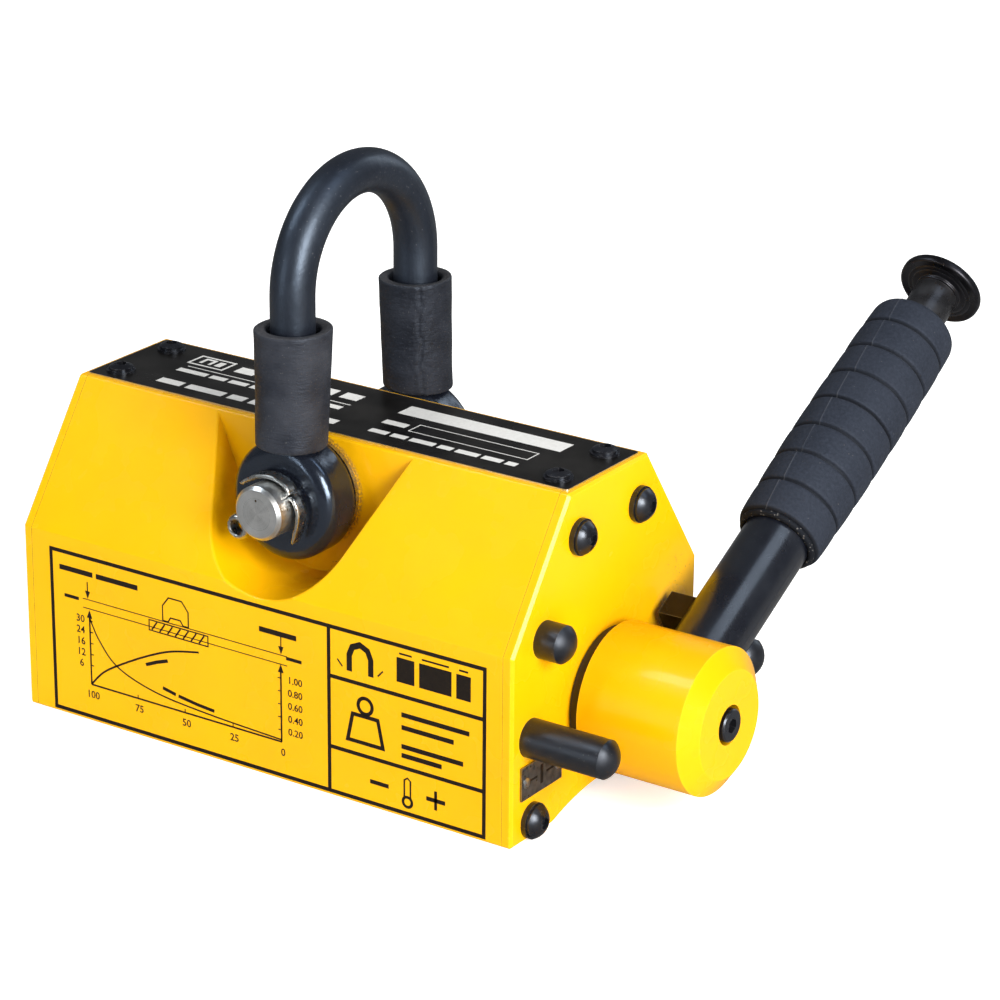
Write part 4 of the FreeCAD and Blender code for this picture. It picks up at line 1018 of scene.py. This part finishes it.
def make_sleeve(name, node_name, side, top_radius, foot_radius, wrinkle, rubber):
    """side is -1 at the front and 1 at the rear; wrinkle is how deep its crease is."""
    low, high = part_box(node_name)
    height = high.z - low.z
    around = 112
    outline = hose_outline(height, foot_radius, 0.8 * MM)
    wall_y = pocket_wall_y + SLEEVE_CLEAR
    plate_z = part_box("top_plate")[1].z
    crease_angle = math.radians(-48.0)
    verts = []
    for along, radius, outside in outline:
        share = along / height
        centre_y = SLEEVE_FOOT_Y + (SLEEVE_TOP_Y - SLEEVE_FOOT_Y) * share**0.7
        swell = (top_radius - foot_radius) * share**1.6 if outside else 0.0
        for j in range(around):
            angle = 2 * math.pi * j / around
            out = Vector((math.cos(angle), math.sin(angle), 0.0))
            lump = noise.noise(Vector((out.x * 1.6, out.y * 1.6, along * 90 + side * 9)))
            r = radius + swell + (lump * 0.22 * MM if outside else 0.0)
            if outside:
                cut = noise.noise(Vector((out.x * 2.0, out.y * 2.0, 40.0 + side)))
                off = (angle - crease_angle + math.pi) % (2 * math.pi) - math.pi
                wander = 0.05 * math.sin(share * 17.0) + 0.03 * math.sin(share * 41.0)
                groove = math.exp(-((off - wander) / 0.045) ** 2)
                lips = math.exp(-((off - wander) / 0.2) ** 2) - groove
                pucker = noise.noise(Vector((off * 22.0, along * 620.0, side * 3.0)))
                near = math.exp(-(off / 0.55) ** 2)
                r += wrinkle * (lips * 0.22 - groove * 0.45 + pucker * near * 0.6) * MM
                r += cut * 0.12 * MM
            x = r * math.cos(angle)
            y = centre_y + r * math.sin(angle) * side
            z = low.z + along
            pressed = max(0.0, min(1.0, (plate_z + 6.0 * MM - z) / (6.0 * MM)))
            if y < wall_y and pressed:
                y += (wall_y - y) * pressed**0.5 if z > plate_z + 0.4 * MM else wall_y - y
            tilt = 0.35 * MM * math.sin(angle + 1.1) * (share**6 - (1 - share) ** 6)
            verts.append((x, side * y, z + (tilt if outside else 0.0)))
    piece = new_piece(name, verts, tube_faces(len(outline), around, True), rubber, "shackle")
    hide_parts(node_name)


front_rubber = hose_rubber("front_rubber", (0.004, 0.0045, 0.008), (0.03, 0.031, 0.037))
# The rear hose takes a darker copy of the same rubber: painted shade.
shaded_rear_rubber = hose_rubber("shaded_rear_rubber", (0.003, 0.0035, 0.006), (0.014, 0.015, 0.02))
make_sleeve("front_hose", "front_sleeve", -1, 13.9 * MM, 12.9 * MM, 0.0, front_rubber)
make_sleeve("rear_hose", "rear_sleeve", 1, 13.3 * MM, 12.8 * MM, 1.0, shaded_rear_rubber)

# Hub
# A yellow enamelled steel boss keyed to the rotor shaft, cross-drilled for the lever tube. A casting
# pit shows under the enamel beside the bore.
hub_pits = [(Vector((128.0, -25.0, 48.1)) * MM, 1.3 * MM)]
dress(enamel("hub_enamel", hub_pits), "hub")

# Lever tube
# Drawn steel tube, chromate dipped and painted gloss black, with dust caught in the paint.


def painted_black(name):
    """Gloss black paint with dust and grit caught in it."""
    mix = Finish(name)
    cloud = mix.effect(mottle, Scale=70.0, Detail=4.0, Contrast=1.5)
    orange = mix.effect(mottle, Scale=600.0, Detail=2.0)
    dust = mix.effect(specks, Scale=950.0, Share=0.03, Size=0.18)
    haze = mix.effect(specks, Scale=2200.0, Share=0.05, Size=0.24)
    drift = mix.effect(mottle, Scale=25.0, Detail=5.0, Contrast=2.0)
    grit = mix.times(mix.most(dust, haze), drift)
    shade = mix.tint(cloud, (0.003, 0.0036, 0.007), (0.006, 0.008, 0.014))
    shade = mix.over(shade, (0.16, 0.16, 0.17), grit, 0.35)
    mix.put(Base_Color=shade)
    mix.put(Roughness=mix.remap(cloud, 0.3, 0.7, 0.26, 0.38))
    mix.put(Coat_Weight=0.5, Coat_Roughness=0.22)
    skin = mix.bump(orange, 0.008 * MM)
    mix.put(Normal=mix.bump(grit, 0.02 * MM, 1.0, skin))
    return mix.material


dress(painted_black("tube_black"), "lever_tube", "spring_seat")

# Grip
# Dark grey foamed rubber moulded in two halves, with seven shallow grooves. The mould's parting line
# leaves a thin pale flash down one side that steps where each ring of the mould met the next.
LEVER_OUT = -Vector(joints["button_press"]["axis"])
tube_middle = (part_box("lever_tube")[0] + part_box("lever_tube")[1]) / 2
LEVER_FOOT = Vector(joints["lever_turn"]["pos_m"]) + Vector((tube_middle.x, 0.0, 0.0))
LEVER_FRAME = Matrix((Vector((1, 0, 0)), LEVER_OUT.cross(Vector((1, 0, 0))), LEVER_OUT)).transposed()
GRIP_START = 83.7 * MM
GRIP_END = 196.2 * MM
GRIP_RADIUS = 17.5 * MM
GRIP_END_RADIUS = 15.9 * MM
GRIP_BORE = 12.75 * MM
GRIP_MOUTH = 8.85 * MM
GRIP_LIP = 1.9 * MM
GRIP_LIP_RADIUS = 14.9 * MM
GROOVE_COUNT = 7
FLASH_ANGLES = (math.radians(-96.0), math.radians(84.0))


def grip_outline():
    """(out along the lever, radius, on the skin) round the grip's wall, from its foot and back."""
    length = GRIP_END - GRIP_START
    pitch = length / (GROOVE_COUNT + 1)
    lip = [(-GRIP_LIP, GRIP_BORE + 0.3 * MM), (-GRIP_LIP, GRIP_LIP_RADIUS - 1.1 * MM)]
    lip += [(-GRIP_LIP + 0.25 * MM, GRIP_LIP_RADIUS - 0.5 * MM), (-GRIP_LIP + 0.8 * MM, GRIP_LIP_RADIUS)]
    lip += [(-0.35 * MM, GRIP_LIP_RADIUS), (-0.05 * MM, GRIP_LIP_RADIUS - 0.25 * MM)]
    outline = [(GRIP_START + along, radius, 0.0) for along, radius in lip]
    steps = 300
    for i in range(steps + 1):
        sweep = math.cos(math.pi * i / steps)
        share = 0.5 - 0.5 * sweep * (0.55 + 0.45 * abs(sweep))
        along = share * length
        radius = GRIP_END_RADIUS + (GRIP_RADIUS - GRIP_END_RADIUS) * math.sin(math.pi * share) ** 0.5
        band = along / pitch % 1.0
        off = (band if band < 0.5 else band - 1.0) * pitch
        inside = 0.5 < along / pitch < GROOVE_COUNT + 0.5
        if inside:
            radius -= 1.5 * MM * math.exp(-abs(off / (0.62 * MM)) ** 2.4)
            radius -= 0.3 * MM * math.exp(-abs(off) / (1.6 * MM))
        for gap, corner in ((along, 1.6 * MM), (length - along, 4.6 * MM)):
            if gap < corner:
                radius -= corner - math.sqrt(corner**2 - (corner - gap) ** 2)
        outline.append((GRIP_START + along, radius, 1.0))
    mouth = [(GRIP_END + 0.15 * MM, GRIP_MOUTH + 1.7 * MM), (GRIP_END + 0.35 * MM, GRIP_MOUTH + 1.2 * MM)]
    mouth += [(GRIP_END + 0.3 * MM, GRIP_MOUTH + 0.5 * MM), (GRIP_END - 0.2 * MM, GRIP_MOUTH)]
    mouth += [(GRIP_END - 1.9 * MM, GRIP_MOUTH), (GRIP_END - 2.0 * MM, GRIP_BORE)]
    outline += [(along, radius, 0.0) for along, radius in mouth]
    bore = length - 1.0 * MM
    return outline + [(GRIP_END - 2.0 * MM - bore * i / 8, GRIP_BORE, 0.0) for i in range(1, 9)]


def flash_drift(along):
    """How far round the flash strays from its straight line, stepping back at each groove."""
    pitch = (GRIP_END - GRIP_START) / (GROOVE_COUNT + 1)
    ring = (along - GRIP_START) / pitch
    within = ring - math.floor(ring)
    back = max(0.0, 1.0 - min(within, 1.0 - within) * pitch / (0.5 * MM)) * (1 if within > 0.5 else -1)
    chance = noise.noise(Vector((math.floor(ring) * 3.7, 0, 0))) * 0.5
    lean = (within - 0.5) * 2.0 * (1.0 - abs(back)) + chance
    return -math.radians(2.1) * lean


def grip_angles():
    """(angle, flash share, pull) of the lengthways rows: close together beside the two flash lines."""
    rows = []
    for centre in FLASH_ANGLES:
        close = ((-0.8, 0.0), (-0.36, 0.0), (-0.15, 0.5), (0.0, 1.0), (0.15, 0.5), (0.36, 0.0), (0.8, 0.0))
        rows += [(centre + off * MM / GRIP_RADIUS, flash, 1.0) for off, flash in close]
        count = 62
        for i in range(1, count):
            share = i / count
            away = 0.07 + (math.pi - 0.14) * share
            rows.append((centre + away, 0.0, max(0.0, 1.0 - min(share, 1.0 - share) * 9.0)))
    return sorted((angle % (2 * math.pi), flash, pull) for angle, flash, pull in rows)


def foam_rubber(name):
    """Dark bluish grey rubber with a fine open skin and painted shade in its grooves; flash_line marks the
    parting line.
    """
    mix = Finish(name)
    cloud = mix.effect(mottle, Scale=38.0, Detail=6.0, Contrast=1.6)
    skin = mix.effect(mottle, Scale=900.0, Detail=5.0, Contrast=1.9)
    cells = mix.effect(mottle, Scale=2300.0, Detail=2.0, Contrast=1.6)
    flecks = mix.effect(specks, Scale=900.0, Share=0.03, Size=0.2)
    along = mix.on_vector("DOT_PRODUCT", mix.own_place(), LEVER_OUT)
    lip_at = LEVER_FOOT.dot(LEVER_OUT) + GRIP_START
    on_lip = mix.below(along, lip_at - 0.1 * MM)
    crumbs = mix.effect(specks, Scale=1100.0, Share=mix.times(on_lip, 0.3), Size=0.34)
    flash = mix.add("Attribute", {}, attribute_name="flash_line").outputs["Fac"]
    worn_flash = mix.times(flash, mix.remap(cloud, 0.3, 0.65, 0.35, 0.9))
    shade = mix.tint(cloud, (0.009, 0.011, 0.017), (0.018, 0.021, 0.03))
    shade = mix.over(shade, (0.034, 0.04, 0.058), skin, 0.5)
    pitch = (GRIP_END - GRIP_START) / (GROOVE_COUNT + 1)
    from_groove = mix.calc("PINGPONG", mix.minus(along, lip_at), pitch / 2)
    groove_shade = mix.remap(from_groove, 0.45 * MM, 1.0 * MM, 0.85, 0.0)
    # Painted shade near black in the grooves; the lip at the grip's foot is painted near black too.
    shade = mix.tint(mix.most(on_lip, groove_shade), shade, (0.004, 0.004, 0.005))
    shade = mix.over(shade, (0.11, 0.115, 0.13), worn_flash, 0.6)
    pale = mix.most(mix.times(flecks, 0.15), mix.times(crumbs, 0.35))
    mix.put(Base_Color=mix.tint(pale, shade, (0.3, 0.28, 0.26)))
    mix.put(Roughness=mix.remap(cloud, 0.25, 0.75, 0.66, 0.8))
    mix.put(Specular_IOR_Level=0.36, Specular_Tint=COOL_SHEEN)
    under = mix.bump(skin, 0.1 * MM, 0.9)
    mix.put(Normal=mix.bump(cells, 0.035 * MM, 0.9, under))
    return mix.material


def make_grip():
    outline = grip_outline()
    rows = grip_angles()
    verts = []
    marks = []
    for along, radius, on_skin in outline:
        drift = flash_drift(along) if on_skin else 0.0
        for angle, flash, pull in rows:
            turn = angle + drift * pull
            spot = Vector((math.cos(turn), math.sin(turn), 0.0))
            wander = noise.noise(Vector((spot.x * 2.0, spot.y * 2.0, along * 60.0)))
            r = radius + (wander * 0.25 + flash * 0.13) * MM * on_skin
            if not on_skin and radius > GRIP_BORE + 0.5 * MM and along < GRIP_START:
                r += 0.16 * MM * noise.noise(Vector((spot.x * 22.0, spot.y * 22.0, along * 900.0)))
            place = LEVER_FRAME @ Vector((spot.x * r, spot.y * r, along)) + LEVER_FOOT
            verts.append(place)
            marks.append(flash * on_skin)
    faces = tube_faces(len(outline), len(rows), True)
    piece = new_piece("moulded_grip", verts, faces, foam_rubber("foam_rubber"), "lever")
    flash_line = piece.data.attributes.new("flash_line", "FLOAT", "POINT")
    flash_line.data.foreach_set("value", marks)
    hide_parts("grip")


make_grip()

# Release button: plunger, knob and latch key
# A polished steel rod slides in the lever and carries a wide turned knob outside. Pressing the knob
# draws in the latch key at the foot of the rod against the spring. All are dark with oil and wear.


def turned_dark(name, hue, glint, rings):
    """Dark oiled steel with turning marks about the lever's axis; rings is how many to a metre."""
    mix = Finish(name)
    from_foot = mix.on_vector("SUBTRACT", mix.own_place(), LEVER_FOOT)
    along = mix.on_vector("DOT_PRODUCT", from_foot, LEVER_OUT)
    flat = mix.on_vector("CROSS_PRODUCT", from_foot, LEVER_OUT)
    apart = mix.on_vector("LENGTH", flat)
    lathe = mix.vector(apart, along, 0.0)
    marks = mix.cloud(lathe, rings, 4.0)
    cloud = mix.effect(mottle, Scale=130.0, Detail=6.0, Contrast=2.0)
    bloom = mix.effect(mottle, Scale=45.0, Detail=5.0, Contrast=2.2)
    pits = mix.effect(specks, Scale=700.0, Share=0.12, Size=0.26)
    worn = mix.effect(worn_edge, Radius=0.5 * MM, Reach=0.14, Break_Scale=160.0, Share=1.0)
    shade = mix.tint(cloud, hue, glint)
    shade = mix.over(shade, (0.035, 0.02, 0.012), bloom, 0.18)
    shade = mix.over(shade, glint, marks, 0.3)
    shade = mix.over(shade, (0.03, 0.02, 0.014), pits, 0.7)
    mix.put(Base_Color=mix.tint(mix.times(worn, 0.7), shade, (0.3, 0.3, 0.31)))
    mix.put(Metallic=0.85)
    rough = mix.remap(cloud, 0.25, 0.75, 0.24, 0.42)
    mix.put(Roughness=mix.plus(rough, mix.times(pits, 0.3)))
    under = mix.bump(marks, 0.02 * MM)
    sunk = mix.minus(1.0, pits)
    under = mix.bump(sunk, 0.05 * MM, 0.8, under)
    mix.put(Normal=mix.bump(cloud, 0.02 * MM, 0.6, under))
    return mix.material


dress(turned_dark("plunger_dark", (0.026, 0.026, 0.029), (0.11, 0.11, 0.118), 1100.0), "plunger")
key_dark = turned_dark("key_dark", (0.008, 0.007, 0.006), (0.03, 0.024, 0.018), 900.0)
dress(key_dark, "latch_key")

KNOB_START = 214.0 * MM
KNOB_OUTLINE = [
    (-0.35, 4.9), (-0.35, 8.3), (0.0, 8.75), (0.35, 8.75), (0.6, 8.55), (0.9, 9.0), (1.0, 9.8),
    (1.08, 10.9), (1.2, 11.0), (1.22, 11.15), (1.14, 11.3), (1.24, 12.6), (1.38, 12.75), (1.4, 12.9),
    (1.3, 13.05), (1.36, 15.0), (1.2, 15.25), (1.25, 15.6), (1.6, 15.95), (2.1, 16.15), (2.7, 16.2),
    (3.7, 16.2), (4.2, 16.0), (4.6, 15.5), (4.85, 14.4), (4.95, 11.0), (5.0, 6.0), (5.0, 2.2),
    (4.7, 1.4), (4.6, 0.6), (4.6, 0.05), (0.2, 0.05), (0.2, 4.9),
]
KNOB_AROUND = 144
knob_dark = turned_dark("knob_dark", (0.006, 0.006, 0.009), (0.034, 0.035, 0.042), 2600.0)
knob_verts = []
for along, radius in KNOB_OUTLINE:
    for j in range(KNOB_AROUND):
        turn = 2 * math.pi * j / KNOB_AROUND
        spot = Vector((math.cos(turn) * radius * MM, math.sin(turn) * radius * MM, KNOB_START + along * MM))
        knob_verts.append(LEVER_FRAME @ spot + LEVER_FOOT)
knob_faces = tube_faces(len(KNOB_OUTLINE), KNOB_AROUND, True)
turned_knob = new_piece("turned_knob", knob_verts, knob_faces, knob_dark, "button")
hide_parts("knob")

# Return spring
# Hard steel wire wound into an open coil with a closed turn at each end. The foot bears on the seat in
# the lever tube, and the plunger squeezes the top as the knob is pressed.
SPRING_WIRE = 0.7 * MM
SPRING_RADIUS = 7.4 * MM
OPEN_TURNS = 4.2
CLOSED_TURNS = 0.9
STEPS_TO_A_TURN = 40
spring_steel = bright_metal("spring_steel", (0.4, 0.39, 0.38), (0.2, 0.19, 0.18), EVEN, 0.25, 0.4)


def make_spring():
    reach = [(vertex.co - LEVER_FOOT).dot(LEVER_OUT) for vertex in nodes["return_spring"].data.vertices]
    foot = min(reach) + SPRING_WIRE
    top = max(reach) - SPRING_WIRE
    closed_rise = CLOSED_TURNS * 2.05 * SPRING_WIRE
    knots = [0.0, CLOSED_TURNS, CLOSED_TURNS + OPEN_TURNS, 2 * CLOSED_TURNS + OPEN_TURNS]
    heights = [foot, foot + closed_rise, top - closed_rise, top]
    rings = round(knots[-1] * STEPS_TO_A_TURN) + 1
    around = 10
    verts = []
    for i in range(rings):
        turns = knots[-1] * i / (rings - 1)
        stage = 0 if turns < knots[1] else 1 if turns < knots[2] else 2
        share = (turns - knots[stage]) / (knots[stage + 1] - knots[stage])
        along = heights[stage] + (heights[stage + 1] - heights[stage]) * share
        angle = 2 * math.pi * turns
        for j in range(around):
            lean = 2 * math.pi * j / around
            radius = SPRING_RADIUS + SPRING_WIRE * math.cos(lean)
            height = along + SPRING_WIRE * math.sin(lean)
            spot = Vector((radius * math.cos(angle), radius * math.sin(angle), height))
            verts.append(LEVER_FRAME @ spot + LEVER_FOOT)
    faces = tube_faces(rings, around, False)
    coil = new_piece("wound_spring", verts, faces, spring_steel, "lever")
    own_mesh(coil)
    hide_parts("return_spring")


make_spring()
